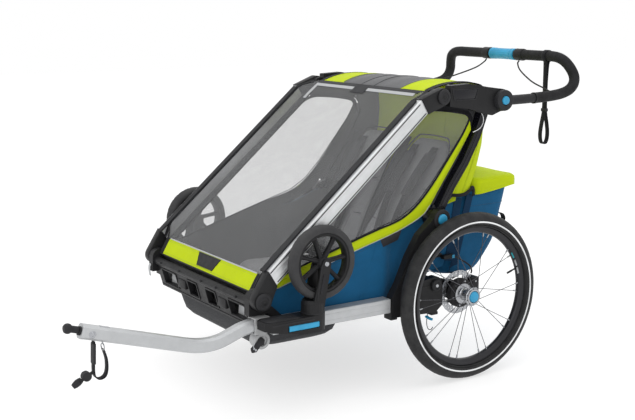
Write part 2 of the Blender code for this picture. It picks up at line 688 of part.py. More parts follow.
def make_rear_wheels(suspension):
    bodies = body_pair("rear_wheel", WHEEL_X, *AXLE)
    for wheel, arm in zip(bodies, suspension):
        wheel.parent = arm
        wheel.location = wheel.location - arm.location
    pair(turned("rear_tyre_left", tyre_profile(), AXLE, WHEEL_STEPS, middle_x=WHEEL_X), "tyre_rubber", bodies)
    half = RIM_WIDTH / 2
    rim = [(RIM_OUTER_RADIUS, half), (RIM_OUTER_RADIUS, -half), (0.197, -half)]
    rim += [(RIM_INNER_RADIUS, -0.006), (RIM_INNER_RADIUS, 0.006), (0.197, half)]
    pair(turned("rear_rim_left", rim, AXLE, WHEEL_STEPS, middle_x=WHEEL_X), "black_plastic", bodies)
    hub = [(0.0, 0.3815), (0.0178, 0.3815), (0.0178, 0.3945), (0.0235, 0.3945), (0.0235, 0.3800)]
    hub += [(0.0150, 0.3760), (0.0150, 0.3520), (0.0300, 0.3480), (0.0300, 0.3430), (0.0430, 0.3400)]
    hub += [(0.0430, 0.3190), (PIN_BORE_RADIUS, 0.3190), (PIN_BORE_RADIUS, 0.3415), (0.0, 0.3415)]
    body = turned("rear_hub_left", hub, AXLE, 20, closed=False)
    union(body, make_spokes("spokes"))
    pair(body, "steel", bodies)
    rotor = [(ROTOR_RADIUS, 0.3215), (ROTOR_RADIUS, 0.3195), (0.0436, 0.3195), (0.0436, 0.3215)]
    pair(turned("brake_rotor_left", rotor, AXLE, 32), "steel", bodies)
    buttons = body_pair("axle_button", 0.386, *AXLE)
    pair(axis_rod("axle_button_left", 0.3860, HALF_WIDTH, AXLE, 0.0172), "blue_plastic", buttons)


def make_casters():
    """The strolling casters, stowed upside down in the wheel brackets."""
    x, y, z = CASTER_AXLE
    forks = body_pair("caster_fork", x, CASTER_STEM_Y, 0.2825)
    wheels = body_pair("caster_wheel", x, y, z)
    crown = [(0.0, 0.038), (0.027, 0.038), (0.0315, 0.030), (0.0325, 0.0), (STEM_RADIUS, 0.0)]
    crown += [(STEM_RADIUS, -0.0330), (0.0, -0.0330)]
    fork = turned("caster_fork_left", crown, (0, 0), 24, closed=False)
    fork.matrix_world = Matrix.Translation((x, CASTER_STEM_Y, 0.2825))
    legs = []
    for inner in (0.0195, -0.0263):
        leg = capsule((CASTER_STEM_Y + 0.004, 0.306), 0.018, (y, z), 0.014, 6)
        legs.append(outline("fork_leg", leg, x + inner, x + inner + 0.0068))
    union(fork, *legs)
    cut(fork, axis_rod("wheel_room", x - 0.0192, x + 0.0192, (y, z), 0.1060, 32))
    union(fork, axis_rod("caster_axle", x - 0.0245, x + 0.0245, (y, z), 0.004, 10))
    pair(fork, "black_plastic", forks)

    half = CASTER_WIDTH / 2
    ring = [(CASTER_RADIUS, 0.011), (CASTER_RADIUS, -0.011), (0.094, -half), (0.074, -half)]
    ring += [(0.070, -0.012), (0.070, 0.012), (0.074, half), (0.094, half)]
    wheel = turned("caster_wheel_left", ring, (y, z), 32, middle_x=x)
    spokes = []
    for i in range(CASTER_SPOKES):
        turn = 2 * math.pi * i / CASTER_SPOKES
        near, far = (
            (y + r * math.cos(turn), z + r * math.sin(turn)) for r in (0.008, 0.072)
        )
        spokes.append(outline("caster_spoke", band([near, far], 0.010), x - 0.009, x + 0.009))
    union(wheel, axis_rod("caster_hub", x - 0.0187, x + 0.0187, (y, z), 0.0160), *spokes)
    cut(wheel, axis_rod("caster_bore", x - 0.030, x + 0.030, (y, z), 0.0052, 12))
    pair(wheel, "tyre_rubber", wheels)


# ---------------------------------------------------------------------------- tow arm


def make_hitch():
    """The receiver under the left rail's front, and the arm, ball, lever, strap and pin."""
    low, high = HITCH_X - 0.0150, HITCH_X + 0.0150
    receiver = box("hitch_receiver", (low - 0.0050, -0.705, 0.2350), (high + 0.0050, -0.657, 0.2805), 0.003)
    union(receiver, axis_rod("claw", low + 0.003, high - 0.003, (-0.680, 0.2150), 0.0225, 24))
    cut(receiver, box("arm_room", (low - 0.0006, -0.720, 0.2384), (high + 0.0006, -0.650, 0.2768)))
    finish(receiver, "grey_plastic")

    lever = pivot_empty("hitch_lever_axis", (high, *HITCH_LEVER_PIVOT))
    shape = arc(HITCH_LEVER_PIVOT, 0.010, -40, 130, 6) + [(-0.716, 0.200), (-0.712, 0.188), (-0.700, 0.189)]
    finish(outline("hitch_lever", shape, high - 0.0026, high + 0.0050), "black_plastic", lever)

    body = pivot_empty("hitch_arm_axis", (HITCH_X, -0.700, 0.2578))
    line = [(-1.178, 0.3220), (-1.034, 0.2790), (-0.905, 0.2400), (-0.870, 0.2315), (-0.835, 0.2285)]
    line += [(-0.800, 0.2320), (-0.765, 0.2430), (-0.738, 0.2520), (-0.712, 0.2570), (-0.690, 0.2578)]
    line += [(-0.658, 0.2578)]
    finish(outline("hitch_arm", band(line, 0.0365), low, high), "aluminium", body)

    centre = Vector((HITCH_X, TOW_NOSE_Y + 0.0100, 0.3330))
    shape = bmesh.new()
    bmesh.ops.create_uvsphere(shape, u_segments=16, v_segments=10, radius=0.0130)
    bmesh.ops.translate(shape, vec=centre, verts=shape.verts)
    ball = from_bmesh("hitch_ball", shape)
    union(ball, rod("ball_stem", centre, (HITCH_X, -1.1850, 0.3258), 0.0090, 12))
    cut(ball, box("nose_flat", (0.25, TOW_NOSE_Y - 0.02, 0.30), (0.35, TOW_NOSE_Y, 0.36)))
    finish(ball, "black_plastic", body)

    line = [(-1.146, 0.2900), (-1.149, 0.2100), (-1.143, 0.1985), (-1.130, 0.1940), (-1.118, 0.2020)]
    line += [(-1.114, 0.2180), (-1.116, 0.2500), (-1.122, 0.2680)]
    finish(outline("hitch_strap", band(line, 0.0040), HITCH_X - 0.010, HITCH_X + 0.010), "webbing", body)

    pin = axis_rod("hitch_pin", HITCH_X - 0.0060, HITCH_X + 0.0060, (-1.1680, 0.2060), 0.0120)
    union(pin, rod("pin_wing", (HITCH_X, -1.1680, 0.2060), (HITCH_X, -1.2000, 0.1880), 0.0055, 10))
    finish(pin, "black_plastic", body)


def main():
    make_rails()
    make_bumper()
    make_rear_beam()
    make_rear_posts()
    make_fold_buttons()
    make_wheel_brackets()
    make_bracket_levers()
    make_tub()
    make_footwell()
    make_seat()
    make_side_windows()
    make_back_panel()
    make_cargo_bag()
    make_bag_lid()
    make_frame_tubes()
    make_front_cover()
    make_top_frame()
    make_uprights()
    push_bar = make_push_bar()
    make_brake_grip(push_bar)
    make_push_bar_cables(push_bar)
    make_wrist_strap(push_bar)
    make_rear_wheels(make_suspension())
    make_casters()
    make_hitch()
    ORIGIN.location.y = AXLE_SHIFT_Y


main()
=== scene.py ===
"""Looks of the child bicycle trailer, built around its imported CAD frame. Metres, Z up, +Y to the rear.

Most points are written in the axle frame, where y = 0 at the rear axle, and P() moves them into the
row frame. "near" is the +X (left) side; what is the same on both sides is built there and mirrored.
"""

import json
import math

import bmesh
import bpy
import numpy as np
from mathutils import Matrix, Vector, noise

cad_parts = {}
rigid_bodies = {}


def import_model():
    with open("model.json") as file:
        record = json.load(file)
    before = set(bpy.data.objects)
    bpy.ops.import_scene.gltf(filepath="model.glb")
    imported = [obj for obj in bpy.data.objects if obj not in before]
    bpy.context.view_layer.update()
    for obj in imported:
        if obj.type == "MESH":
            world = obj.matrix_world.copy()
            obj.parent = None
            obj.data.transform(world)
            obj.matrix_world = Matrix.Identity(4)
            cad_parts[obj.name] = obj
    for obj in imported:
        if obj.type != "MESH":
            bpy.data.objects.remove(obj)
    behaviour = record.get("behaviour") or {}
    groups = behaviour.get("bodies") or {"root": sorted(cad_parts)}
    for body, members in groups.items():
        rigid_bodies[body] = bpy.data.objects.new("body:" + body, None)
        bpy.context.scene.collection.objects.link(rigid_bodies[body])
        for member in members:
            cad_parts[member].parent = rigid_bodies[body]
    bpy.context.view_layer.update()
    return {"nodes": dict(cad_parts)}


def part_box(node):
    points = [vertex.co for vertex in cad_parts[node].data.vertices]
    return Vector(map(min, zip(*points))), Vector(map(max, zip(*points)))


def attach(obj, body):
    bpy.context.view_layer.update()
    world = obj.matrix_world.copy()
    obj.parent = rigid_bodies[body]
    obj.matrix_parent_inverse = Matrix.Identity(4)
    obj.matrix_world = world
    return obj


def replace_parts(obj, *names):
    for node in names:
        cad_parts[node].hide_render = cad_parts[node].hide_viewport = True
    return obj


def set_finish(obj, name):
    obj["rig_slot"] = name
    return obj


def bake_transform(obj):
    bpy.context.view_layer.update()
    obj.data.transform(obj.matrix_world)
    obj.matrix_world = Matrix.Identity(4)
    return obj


for old in list(bpy.data.objects):
    bpy.data.objects.remove(old, do_unlink=True)
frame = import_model()
CAD = frame["nodes"]
rim_low, rim_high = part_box("rear_rim_left")
AXLE_Y = (rim_low.y + rim_high.y) / 2
AXLE_Z = (rim_low.z + rim_high.z) / 2
WHEEL_X = (rim_low.x + rim_high.x) / 2
AXLE = (0.0, AXLE_Z)
X_AXIS = Vector((1, 0, 0))
SIDES = (("left", 1), ("right", -1))
SUSPENSION = ("suspension_left", "suspension_right")
REAR_WHEELS = ("rear_wheel_left", "rear_wheel_right")
CASTER_WHEELS = ("caster_wheel_left", "caster_wheel_right")
CASTER_FORKS = ("caster_fork_left", "caster_fork_right")
WAVE_REPEAT = 0.314  # metres between the bands of a wave texture at scale 1


def P(x, y, z):
    """A point of the axle frame in the row frame."""
    return Vector((x, y + AXLE_Y, z))


# ------------------------------------------------------------------ materials


class Graph:
    """A material's node tree, with short calls for the nodes used here."""

    def __init__(self, name, colour, rough, metal=0.0):
        self.material = bpy.data.materials.new(name)
        self.material.use_nodes = True
        self.tree = self.material.node_tree
        self.shader = self.tree.nodes["Principled BSDF"]
        self.set("Base Color", (*colour, 1))
        self.set("Roughness", rough)
        self.set("Metallic", metal)
        self.material.diffuse_color = (*colour, 1)
        self.place = self.tree.nodes.new("ShaderNodeTexCoord").outputs["Object"]

    def set(self, socket, value):
        self.shader.inputs[socket].default_value = value

    def node(self, kind, inputs=(), **settings):
        made = self.tree.nodes.new("ShaderNode" + kind)
        for key, value in settings.items():
            setattr(made, key, value)
        for key, value in dict(inputs).items():
            if isinstance(value, bpy.types.NodeSocket):
                self.tree.links.new(value, made.inputs[key])
            else:
                made.inputs[key].default_value = value
        return made

    def stretched_place(self, scale):
        return self.node("Mapping", {"Vector": self.place, "Scale": scale}).outputs[0]

    def noise(self, scale, detail=4.0, rough=0.55, vector=None):
        made = self.node(
            "TexNoise", {"Vector": vector or self.place, "Scale": scale, "Detail": detail, "Roughness": rough}
        )
        return made.outputs["Fac"]

    def wave(self, scale, direction, distortion=0.0):
        inputs = {"Vector": self.place, "Scale": scale, "Distortion": distortion}
        made = self.node("TexWave", inputs, wave_type="BANDS", bands_direction=direction, wave_profile="SIN")
        return made.outputs["Fac"]

    def math(self, operation, a, b=0.0):
        return self.node("Math", {0: a, 1: b}, operation=operation).outputs[0]

    def spread(self, value, low, high, out_low, out_high):
        inputs = {"Value": value, "From Min": low, "From Max": high, "To Min": out_low, "To Max": out_high}
        return self.node("MapRange", inputs).outputs[0]

    def mix(self, factor, a, b):
        made = self.node("Mix", {0: factor}, data_type="RGBA")
        for socket, value in ((6, a), (7, b)):
            if isinstance(value, bpy.types.NodeSocket):
                self.tree.links.new(value, made.inputs[socket])
            else:
                made.inputs[socket].default_value = (*value, 1)
        return made.outputs[2]

    def link(self, output, socket):
        self.tree.links.new(output, self.shader.inputs[socket])

    def bump(self, height, distance, strength=1.0, after=None):
        made = self.node("Bump", {"Height": height, "Distance": distance, "Strength": strength})
        if after:
            self.tree.links.new(after, made.inputs["Normal"])
        return made.outputs[0]


def scaled(colour, k):
    return tuple(min(1.0, c * k) for c in colour)


def moulded(name, colour, rough=0.5, grain=0.00012, coat=0.0, shine=0.22):
    """Moulded plastic with a fine grain, faint mottling and slightly polished high spots."""
    g = Graph(name, colour, rough)
    g.set("Specular IOR Level", shine)
    if coat:
        g.set("Coat Weight", coat)
        g.set("Coat Roughness", 0.12)
    broad, fine = g.noise(22.0, 3.0), g.noise(1900.0, 2.0)
    g.link(g.mix(g.spread(broad, 0.35, 0.65, 0.0, 1.0), scaled(colour, 0.88), scaled(colour, 1.14)), "Base Color")
    g.link(g.spread(g.noise(90.0, 5.0), 0.3, 0.7, rough - 0.07, rough + 0.08), "Roughness")
    g.link(g.bump(fine, grain, 0.6), "Normal")
    return g.material


def metal(name, colour, rough, along=(1, 1, 1), grain=0.00004, metallic=1.0):
    """Anodised or brushed metal: streaks stretched along one direction, and slow changes of gloss."""
    g = Graph(name, colour, rough, metallic)
    streaks = g.noise(700.0, 3.0, 0.6, g.stretched_place(along))
    broad = g.noise(16.0, 3.0)
    g.link(g.mix(g.spread(streaks, 0.3, 0.7, 0.0, 1.0), scaled(colour, 0.93), scaled(colour, 1.04)), "Base Color")
    g.link(
        g.math(
            "ADD", g.spread(streaks, 0.3, 0.7, rough - 0.05, rough + 0.05), g.spread(broad, 0.3, 0.7, -0.03, 0.03)
        ), "Roughness"
    )
    g.link(g.bump(streaks, grain, 0.5), "Normal")
    return g.material


def rubber(name, colour, rough=0.7, dust=0.25):
    """Matt rubber with patches of pale dust."""
    g = Graph(name, colour, rough)
    g.set("Specular IOR Level", 0.25)
    broad = g.noise(30.0, 5.0)
    g.link(g.mix(g.spread(broad, 0.4, 0.75, 0.0, dust), colour, (0.075, 0.075, 0.073)), "Base Color")
    g.link(g.spread(g.noise(260.0, 4.0), 0.3, 0.7, rough - 0.08, rough + 0.1), "Roughness")
    g.link(g.bump(g.noise(900.0, 4.0), 0.0002, 0.5), "Normal")
    return g.material


def woven(name, colour, rough=0.8, thread=0.0011, wrinkle=0.0012, sheen=0.3, tone=0.1, coat=0.0):
    """Coated woven cloth: threads along all three axes, slow tone changes and soft puckers."""
    g = Graph(name, colour, rough)
    g.set("Specular IOR Level", 0.15)
    g.set("Sheen Weight", sheen)
    g.set("Sheen Roughness", 0.5)
    if coat:
        g.set("Coat Weight", coat)
        g.set("Coat Roughness", 0.35)
    scale = WAVE_REPEAT / thread
    threads = g.math(
        "ADD", g.math("ADD", g.wave(scale, "X", 0.6), g.wave(scale, "Y", 0.6)), g.wave(scale, "Z", 0.6)
    )
    broad = g.noise(9.0, 4.0)
    mixed = g.mix(g.spread(broad, 0.3, 0.7, 0.0, 1.0), scaled(colour, 1 - tone), scaled(colour, 1 + tone))
    g.link(g.mix(g.spread(threads, 0.6, 2.4, 0.22, 0.0), mixed, scaled(colour, 0.62)), "Base Color")
    g.link(g.spread(g.noise(140.0, 3.0), 0.3, 0.7, rough - 0.06, rough + 0.06), "Roughness")
    puckers = g.bump(g.noise(24.0, 2.0, 0.4), wrinkle, 0.8)
    g.link(g.bump(threads, 0.00012, 0.45, puckers), "Normal")
    return g.material


def see_through(name, colour, rough, alpha):
    """Tinted film with faint ripples."""
    g = Graph(name, colour, rough)
    g.set("Alpha", alpha)
    g.set("Specular IOR Level", 0.6)
    ripples = g.noise(6.0, 2.0, 0.4)
    g.link(g.mix(g.spread(ripples, 0.3, 0.7, 0.0, 1.0), scaled(colour, 0.92), scaled(colour, 1.08)), "Base Color")
    g.link(g.bump(ripples, 0.004, 0.35), "Normal")
    g.link(g.spread(g.noise(30.0, 3.0), 0.3, 0.7, rough - 0.05, rough + 0.08), "Roughness")
    g.material.surface_render_method = "BLENDED"
    return g.material


def webbed(name, colour, rib=0.0022):
    """Webbing: ribs across the strap and a herringbone of fine threads."""
    g = Graph(name, colour, 0.8)
    g.set("Specular IOR Level", 0.2)
    g.set("Sheen Weight", 0.06)
    ribs = g.math("ADD", g.wave(WAVE_REPEAT / rib, "DIAGONAL", 0.3), g.wave(0.5 / rib, "Z", 0.4))
    g.link(g.mix(g.spread(ribs, 0.2, 1.8, 0.0, 1.0), scaled(colour, 0.85), scaled(colour, 1.2)), "Base Color")
    g.link(g.bump(ribs, 0.0002, 0.5), "Normal")
    return g.material


def foam(name, colour):
    """Closed-cell foam with an open pore pattern."""
    g = Graph(name, colour, 0.75)
    g.set("Specular IOR Level", 0.25)
    cells = g.node("TexVoronoi", {"Vector": g.place, "Scale": 900.0}).outputs["Distance"]
    g.link(
        g.mix(g.spread(g.noise(40.0), 0.35, 0.7, 0.0, 1.0), scaled(colour, 0.8), scaled(colour, 1.3)), "Base Color"
    )
    g.link(g.bump(cells, 0.00025, 0.6), "Normal")
    g.link(g.spread(g.noise(120.0), 0.3, 0.7, 0.66, 0.84), "Roughness")
    return g.material


LIME = (0.47, 0.58, 0.002)
BLUE = (0.006, 0.088, 0.2)
M = {
    "alu": metal("anodised_aluminium", (0.64, 0.65, 0.66), 0.34, (0.05, 0.05, 0.05), metallic=0.6),
    "alu_dull": metal("matt_aluminium", (0.46, 0.47, 0.48), 0.4, (0.05, 0.05, 0.05), metallic=0.6),
    "black": moulded("black_moulding", (0.011, 0.011, 0.012), 0.46),
    "black_soft": moulded("black_soft_moulding", (0.02, 0.02, 0.022), 0.6),
    "black_gloss": moulded("glossy_black_moulding", (0.004, 0.004, 0.007), 0.26, 0.00003, coat=0.22, shine=0.2),
    "black_metal": metal("black_anodised", (0.022, 0.022, 0.025), 0.36, (0.1, 0.1, 1), metallic=0.5),
    "grey": moulded("grey_moulding", (0.34, 0.345, 0.35), 0.45, shine=0.4),
    "blue": moulded("blue_moulding", (0.026, 0.27, 0.47), 0.38, 0.00005, shine=0.35),
    "steel": metal("brushed_steel", (0.4, 0.41, 0.43), 0.28, (1, 0.05, 0.05)),
    "spoke": metal("spoke_steel", (0.11, 0.11, 0.12), 0.3, (1, 1, 1)),
    "rubber": rubber("tyre_rubber", (0.016, 0.016, 0.017), 0.62),
    "caster_rubber": rubber("caster_rubber", (0.034, 0.034, 0.036), 0.66, 0.35),
    "foam": foam("push_bar_foam", (0.012, 0.012, 0.013)),
    "blue_cloth": woven("blue_cloth", BLUE, 0.72, sheen=0.03, tone=0.12),
    # Dark navy cloth for the strips down the bag's side: painted shade standing in for the shaded folds of the blue
    # cloth, not the colour of a real strap.
    "fold_shade_cloth": woven("fold_shade_cloth", (0.004, 0.03, 0.075), 0.75, sheen=0.02, tone=0.1),
    "lime_cloth": woven("lime_cloth", LIME, 0.7, sheen=0.02, tone=0.06, wrinkle=0.0008),
    "dark_cloth": woven("dark_cloth", (0.034, 0.035, 0.038), 0.7, sheen=0.06, tone=0.12),
    "lining": woven("lining_cloth", (0.066, 0.067, 0.071), 0.75, thread=0.006, sheen=0.05, tone=0.05),
    "roof_cloth": woven("roof_cloth", (0.1, 0.102, 0.107), 0.6, sheen=0.08, tone=0.08, coat=0.08),
    "black_cloth": woven("black_cloth", (0.007, 0.007, 0.009), 0.66, sheen=0.04, tone=0.1),
    "seat_cloth": woven("seat_cloth", (0.23, 0.234, 0.242), 0.85, thread=0.003, wrinkle=0.002, sheen=0.1),
    "seat_edge": woven("seat_edge", (0.03, 0.031, 0.034), 0.85, sheen=0.1),
    "white_cloth": woven("white_cloth", (0.55, 0.56, 0.57), 0.7, sheen=0.1),
    "thread": woven("stitch_thread", (0.3, 0.38, 0.02), 0.7, thread=0.0006),
    "dark_thread": woven("dark_thread", (0.022, 0.023, 0.026), 0.7, thread=0.0006),
    "silver_tape": metal("reflective_tape", (0.42, 0.43, 0.44), 0.42, (1, 1, 1), metallic=0.3),
    "line": moulded("reflective_line", (0.74, 0.75, 0.76), 0.4, 0.00003),
    "film": see_through("front_film", (0.29, 0.293, 0.3), 0.28, 0.17),
    "side_film": see_through("side_film", (0.29, 0.293, 0.3), 0.26, 0.18),
    "webbing": webbed("black_webbing", (0.008, 0.008, 0.01)),
    "teal": moulded("teal_marking", (0.02, 0.26, 0.3), 0.4, 0.00003),
}
SLOT_MATERIALS = {
    "aluminium": ("alu", "alu_dull"),
    "frame_plastic": ("black", "black_soft", "black_gloss"),
    "running_gear_black": ("black_metal",),
    "receiver_grey": ("grey",),
    "accent_blue": ("blue",),
    "hub_steel": ("steel", "spoke"),
    "tyre": ("rubber", "caster_rubber"),
    "grip_foam": ("foam",),
    "blue_fabric": ("blue_cloth", "fold_shade_cloth"),
    "lime_fabric": ("lime_cloth",),
    "roof_fabric": ("dark_cloth", "roof_cloth", "black_cloth", "lining"),
    "seat_fabric": ("seat_cloth", "seat_edge"),
    "window_film": ("film", "side_film"),
    "webbing": ("webbing",),
}
SLOTS = {material: slot for slot, materials in SLOT_MATERIALS.items() for material in materials}

# ------------------------------------------------------------------ mesh helpers


def dress(obj, material, body=None, angle=38.0):
    """Material, outward faces, smooth shading up to an angle, and the body that it rides on."""
    obj.data.materials.clear()
    obj.data.materials.append(M[material])
    shape = bmesh.new()
    shape.from_mesh(obj.data)
    bmesh.ops.remove_doubles(shape, verts=shape.verts, dist=0.000002)
    bmesh.ops.recalc_face_normals(shape, faces=shape.faces)
    shape.to_mesh(obj.data)
    shape.free()
    obj.data.shade_smooth()
    obj.data.set_sharp_from_angle(angle=math.radians(angle))
    if material in SLOTS:
        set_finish(obj, SLOTS[material])
    if body:
        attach(obj, body)
    return obj


def add_mesh(name, points, faces, material, body=None, angle=38.0):
    mesh = bpy.data.meshes.new(name)
    mesh.from_pydata([tuple(p) for p in points], [], faces)
    mesh.validate()
    obj = bpy.data.objects.new(name, mesh)
    bpy.context.scene.collection.objects.link(obj)
    return dress(obj, material, body, angle)


def baked(obj):
    """Applies the object's modifiers to its mesh."""
    bpy.context.view_layer.update()
    graph = bpy.context.evaluated_depsgraph_get()
    mesh = bpy.data.meshes.new_from_object(obj.evaluated_get(graph))
    obj.modifiers.clear()
    if obj.type == "MESH":
        obj.data = mesh
        return obj
    made = bpy.data.objects.new(obj.name, mesh)
    name = obj.name
    made.matrix_world = obj.matrix_world.copy()
    bpy.data.objects.remove(obj, do_unlink=True)
    made.name = name
    bpy.context.scene.collection.objects.link(made)
    return made


def bevelled(obj, width, segments=2, angle=30.0):
    step = obj.modifiers.new("edge", "BEVEL")
    step.width, step.segments, step.limit_method = width, segments, "ANGLE"
    step.angle_limit = math.radians(angle)
    step.harden_normals = False
    return baked(obj)


def subdivided(obj, levels=1):
    step = obj.modifiers.new("smooth", "SUBSURF")
    step.levels = step.render_levels = levels
    return baked(obj)


def sweep(name, path, section, material, body=None, up=None, closed=False, angle=38.0):
    """A closed section of (side, up) points carried along a path. Without an up direction the frame is
    carried along the path with the least turning."""
    path = [Vector(p) for p in path]
    count = len(path)
    points, faces, normal = [], [], None
    for i, point in enumerate(path):
        before = path[i - 1] if i or closed else path[0]
        after = path[(i + 1) % count] if i + 1 < count or closed else path[-1]
        along = (after - before).normalized()
        if up is not None:
            hint = Vector(up(i / max(count - 1, 1)) if callable(up) else up)
            side = along.cross(hint).normalized()
            lift = side.cross(along).normalized()
        else:
            if normal is None:
                normal = along.orthogonal().normalized()
            normal = (normal - along * normal.dot(along)).normalized()
            lift, side = normal, along.cross(normal).normalized()
        ring = section(i / max(count - 1, 1)) if callable(section) else section
        points += [point + side * a + lift * b for a, b in ring]
        size = len(ring)
    for i in range(count if closed else count - 1):
        j = (i + 1) % count
        for k in range(size):
            m = (k + 1) % size
            faces.append((i * size + k, i * size + m, j * size + m, j * size + k))
    if not closed:
        faces.append(tuple(range(size))[::-1])
        faces.append(tuple(range((count - 1) * size, count * size)))
    return add_mesh(name, points, faces, material, body, angle)


def circle(radius, sides=12, squeeze=1.0):
    return [
        (radius * math.cos(2 * math.pi * k / sides), squeeze * radius * math.sin(2 * math.pi * k / sides))
        for k in range(sides)
    ]


def slab(width, height, r=None):
    """A rectangle section with cut corners."""
    w, h = width / 2, height / 2
    r = min(w, h) * 0.45 if r is None else r
    return [(w, h - r), (w - r, h), (r - w, h), (-w, h - r), (-w, r - h), (r - w, -h), (w - r, -h), (w, r - h)]


def pipe(name, path, radius, material, body=None, sides=10, closed=False):
    return sweep(name, path, circle(radius, sides), material, body, closed=closed, angle=60)


def plate(name, outline, low, high, material, body=None, bevel=0.0012, holes=(), segments=2):
    """A flat outline of axle-frame (y, z) points, between two x, with rounded edges."""
    curve = bpy.data.curves.new(name, "CURVE")
    curve.dimensions, curve.fill_mode, curve.extrude = "2D", "BOTH", (high - low) / 2
    for loop in (outline, *holes):
        spline = curve.splines.new("POLY")
        spline.points.add(len(loop) - 1)
        for point, (u, v) in zip(spline.points, loop):
            point.co = (u, v, 0, 1)
        spline.use_cyclic_u = True
    obj = bpy.data.objects.new(name, curve)
    bpy.context.scene.collection.objects.link(obj)
    obj.matrix_world = Matrix(((0, 0, 1, (low + high) / 2), (1, 0, 0, AXLE_Y), (0, 1, 0, 0), (0, 0, 0, 1)))
    obj = baked(obj)
    obj.data.transform(obj.matrix_world)
    obj.matrix_world = Matrix.Identity(4)
    dress(obj, material)
    if bevel:
        obj = bevelled(obj, bevel, segments)
    return dress(obj, material, body)


def lathe(name, profile, centre, material, body=None, steps=48, closed=False, middle_x=0.0, angle=38.0, shape=None):
    """A profile of (radius, x) turned about an axis along X through the axle-frame (y, z). shape may
    give each point another radius, by its radius, x and turn."""
    points, faces = [], []
    size = len(profile)
    for i in range(steps):
        turn = 2 * math.pi * i / steps
        for k, (radius, x) in enumerate(profile):
            r = radius if shape is None else shape(radius, x, turn)
            points.append(P(middle_x + x, centre[0] + r * math.cos(turn), centre[1] + r * math.sin(turn)))
    for i in range(steps):
        j = (i + 1) % steps
        for k in range(size if closed else size - 1):
            m = (k + 1) % size
            faces.append((i * size + k, j * size + k, j * size + m, i * size + m))
    if not closed:
        for k in (0, size - 1):
            if profile[k][0] > 0.00001:
                faces.append(tuple(i * size + k for i in range(steps)))
    return add_mesh(name, points, faces, material, body, angle)


def rounded_box(name, low, high, material, body=None, bevel=0.002):
    low, high = P(*low), P(*high)
    shape = bmesh.new()
    bmesh.ops.create_cube(shape, size=1.0)
    bmesh.ops.scale(shape, vec=high - low, verts=shape.verts)
    bmesh.ops.translate(shape, vec=(low + high) / 2, verts=shape.verts)
    mesh = bpy.data.meshes.new(name)
    shape.to_mesh(mesh)
    shape.free()
    obj = bpy.data.objects.new(name, mesh)
    bpy.context.scene.collection.objects.link(obj)
    return dress(bevelled(obj, bevel, 3), material, body)


def patch(name, surface, nu, nv, thickness, material, body=None, angle=60.0):
    """A closed sheet: a grid of surface(u, v) points given a thickness along its normals."""
    grid = [[Vector(surface(i / nu, j / nv)) for j in range(nv + 1)] for i in range(nu + 1)]
    points, faces = [], []
    for side in (0.5, -0.5):
        for i in range(nu + 1):
            for j in range(nv + 1):
                du = grid[min(i + 1, nu)][j] - grid[max(i - 1, 0)][j]
                dv = grid[i][min(j + 1, nv)] - grid[i][max(j - 1, 0)]
                points.append(grid[i][j] + du.cross(dv).normalized() * thickness * side)
    size, rows = nv + 1, nu + 1

    def at(side, i, j):
        return side * rows * size + i * size + j

    for i in range(nu):
        for j in range(nv):
            faces.append((at(0, i, j), at(0, i + 1, j), at(0, i + 1, j + 1), at(0, i, j + 1)))
            faces.append((at(1, i, j), at(1, i, j + 1), at(1, i + 1, j + 1), at(1, i + 1, j)))
    rim = [(i, 0) for i in range(nu)] + [(nu, j) for j in range(nv)]
    rim += [(i, nv) for i in range(nu, 0, -1)] + [(0, j) for j in range(nv, 0, -1)]
    for (a, b), (c, d) in zip(rim, rim[1:] + rim[:1]):
        faces.append((at(0, a, b), at(1, a, b), at(1, c, d), at(0, c, d)))
    return add_mesh(name, points, faces, material, body, angle)


def joined(name, objects, body=None):
    """Several meshes as one object that keeps their materials."""
    points, faces, slots, indices = [], [], [], []
    for obj in objects:
        start = len(points)
        points += [obj.matrix_world @ v.co for v in obj.data.vertices]
        if obj.data.materials[0] not in slots:
            slots.append(obj.data.materials[0])
        index = slots.index(obj.data.materials[0])
        for face in obj.data.polygons:
            faces.append([start + v for v in face.vertices])
            indices.append(index)
    mesh = bpy.data.meshes.new(name)
    mesh.from_pydata([tuple(p) for p in points], [], faces)
    for slot in slots:
        mesh.materials.append(slot)
    mesh.polygons.foreach_set("material_index", indices)
    mesh.shade_smooth()
    mesh.set_sharp_from_angle(angle=math.radians(40))
    first_slot = objects[0].get("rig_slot")
    for obj in objects:
        bpy.data.objects.remove(obj, do_unlink=True)
    made = bpy.data.objects.new(name, mesh)
    bpy.context.scene.collection.objects.link(made)
    if first_slot:
        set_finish(made, first_slot)
    if body:
        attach(made, body)
    return made


def mirror(obj, body=None):
    """The other side's copy of a piece whose name ends in _left."""
    mesh = obj.data.copy()
    mesh.transform(Matrix.Diagonal((-1, 1, 1, 1)) @ obj.matrix_world)
    mesh.flip_normals()
    name = obj.name.replace("_left", "_right")
    mesh.name = name
    made = bpy.data.objects.new(name, mesh)
    bpy.context.scene.collection.objects.link(made)
    if obj.get("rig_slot"):
        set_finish(made, obj["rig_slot"])
    if body:
        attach(made, body)
    return made


def both(obj, left_body, right_body=None):
    """Rides a left piece and its mirrored copy on their bodies."""
    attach(obj, left_body)
    return obj, mirror(obj, right_body or left_body)


def smooth(points, pieces=4, closed=False):
    """A Catmull-Rom curve through the points."""
    route = [Vector(p) for p in points]
    if closed:
        route = [route[-1]] + route + route[:2]
    else:
        route = [2 * route[0] - route[1]] + route + [2 * route[-1] - route[-2]]
    found = []
    for a, b, c, d in zip(route, route[1:], route[2:], route[3:]):
        for i in range(pieces):
            t = i / pieces
            found.append(
                0.5 * (2 * b + (c - a) * t + (2 * a - 5 * b + 4 * c - d) * t**2 + (3 * b - a - 3 * c + d) * t**3)
            )
    return found if closed else found + [route[-2]]


def flat(points, x):
    """Axle-frame (y, z) points as 3-D points at one x."""
    return [P(x, y, z) for y, z in points]


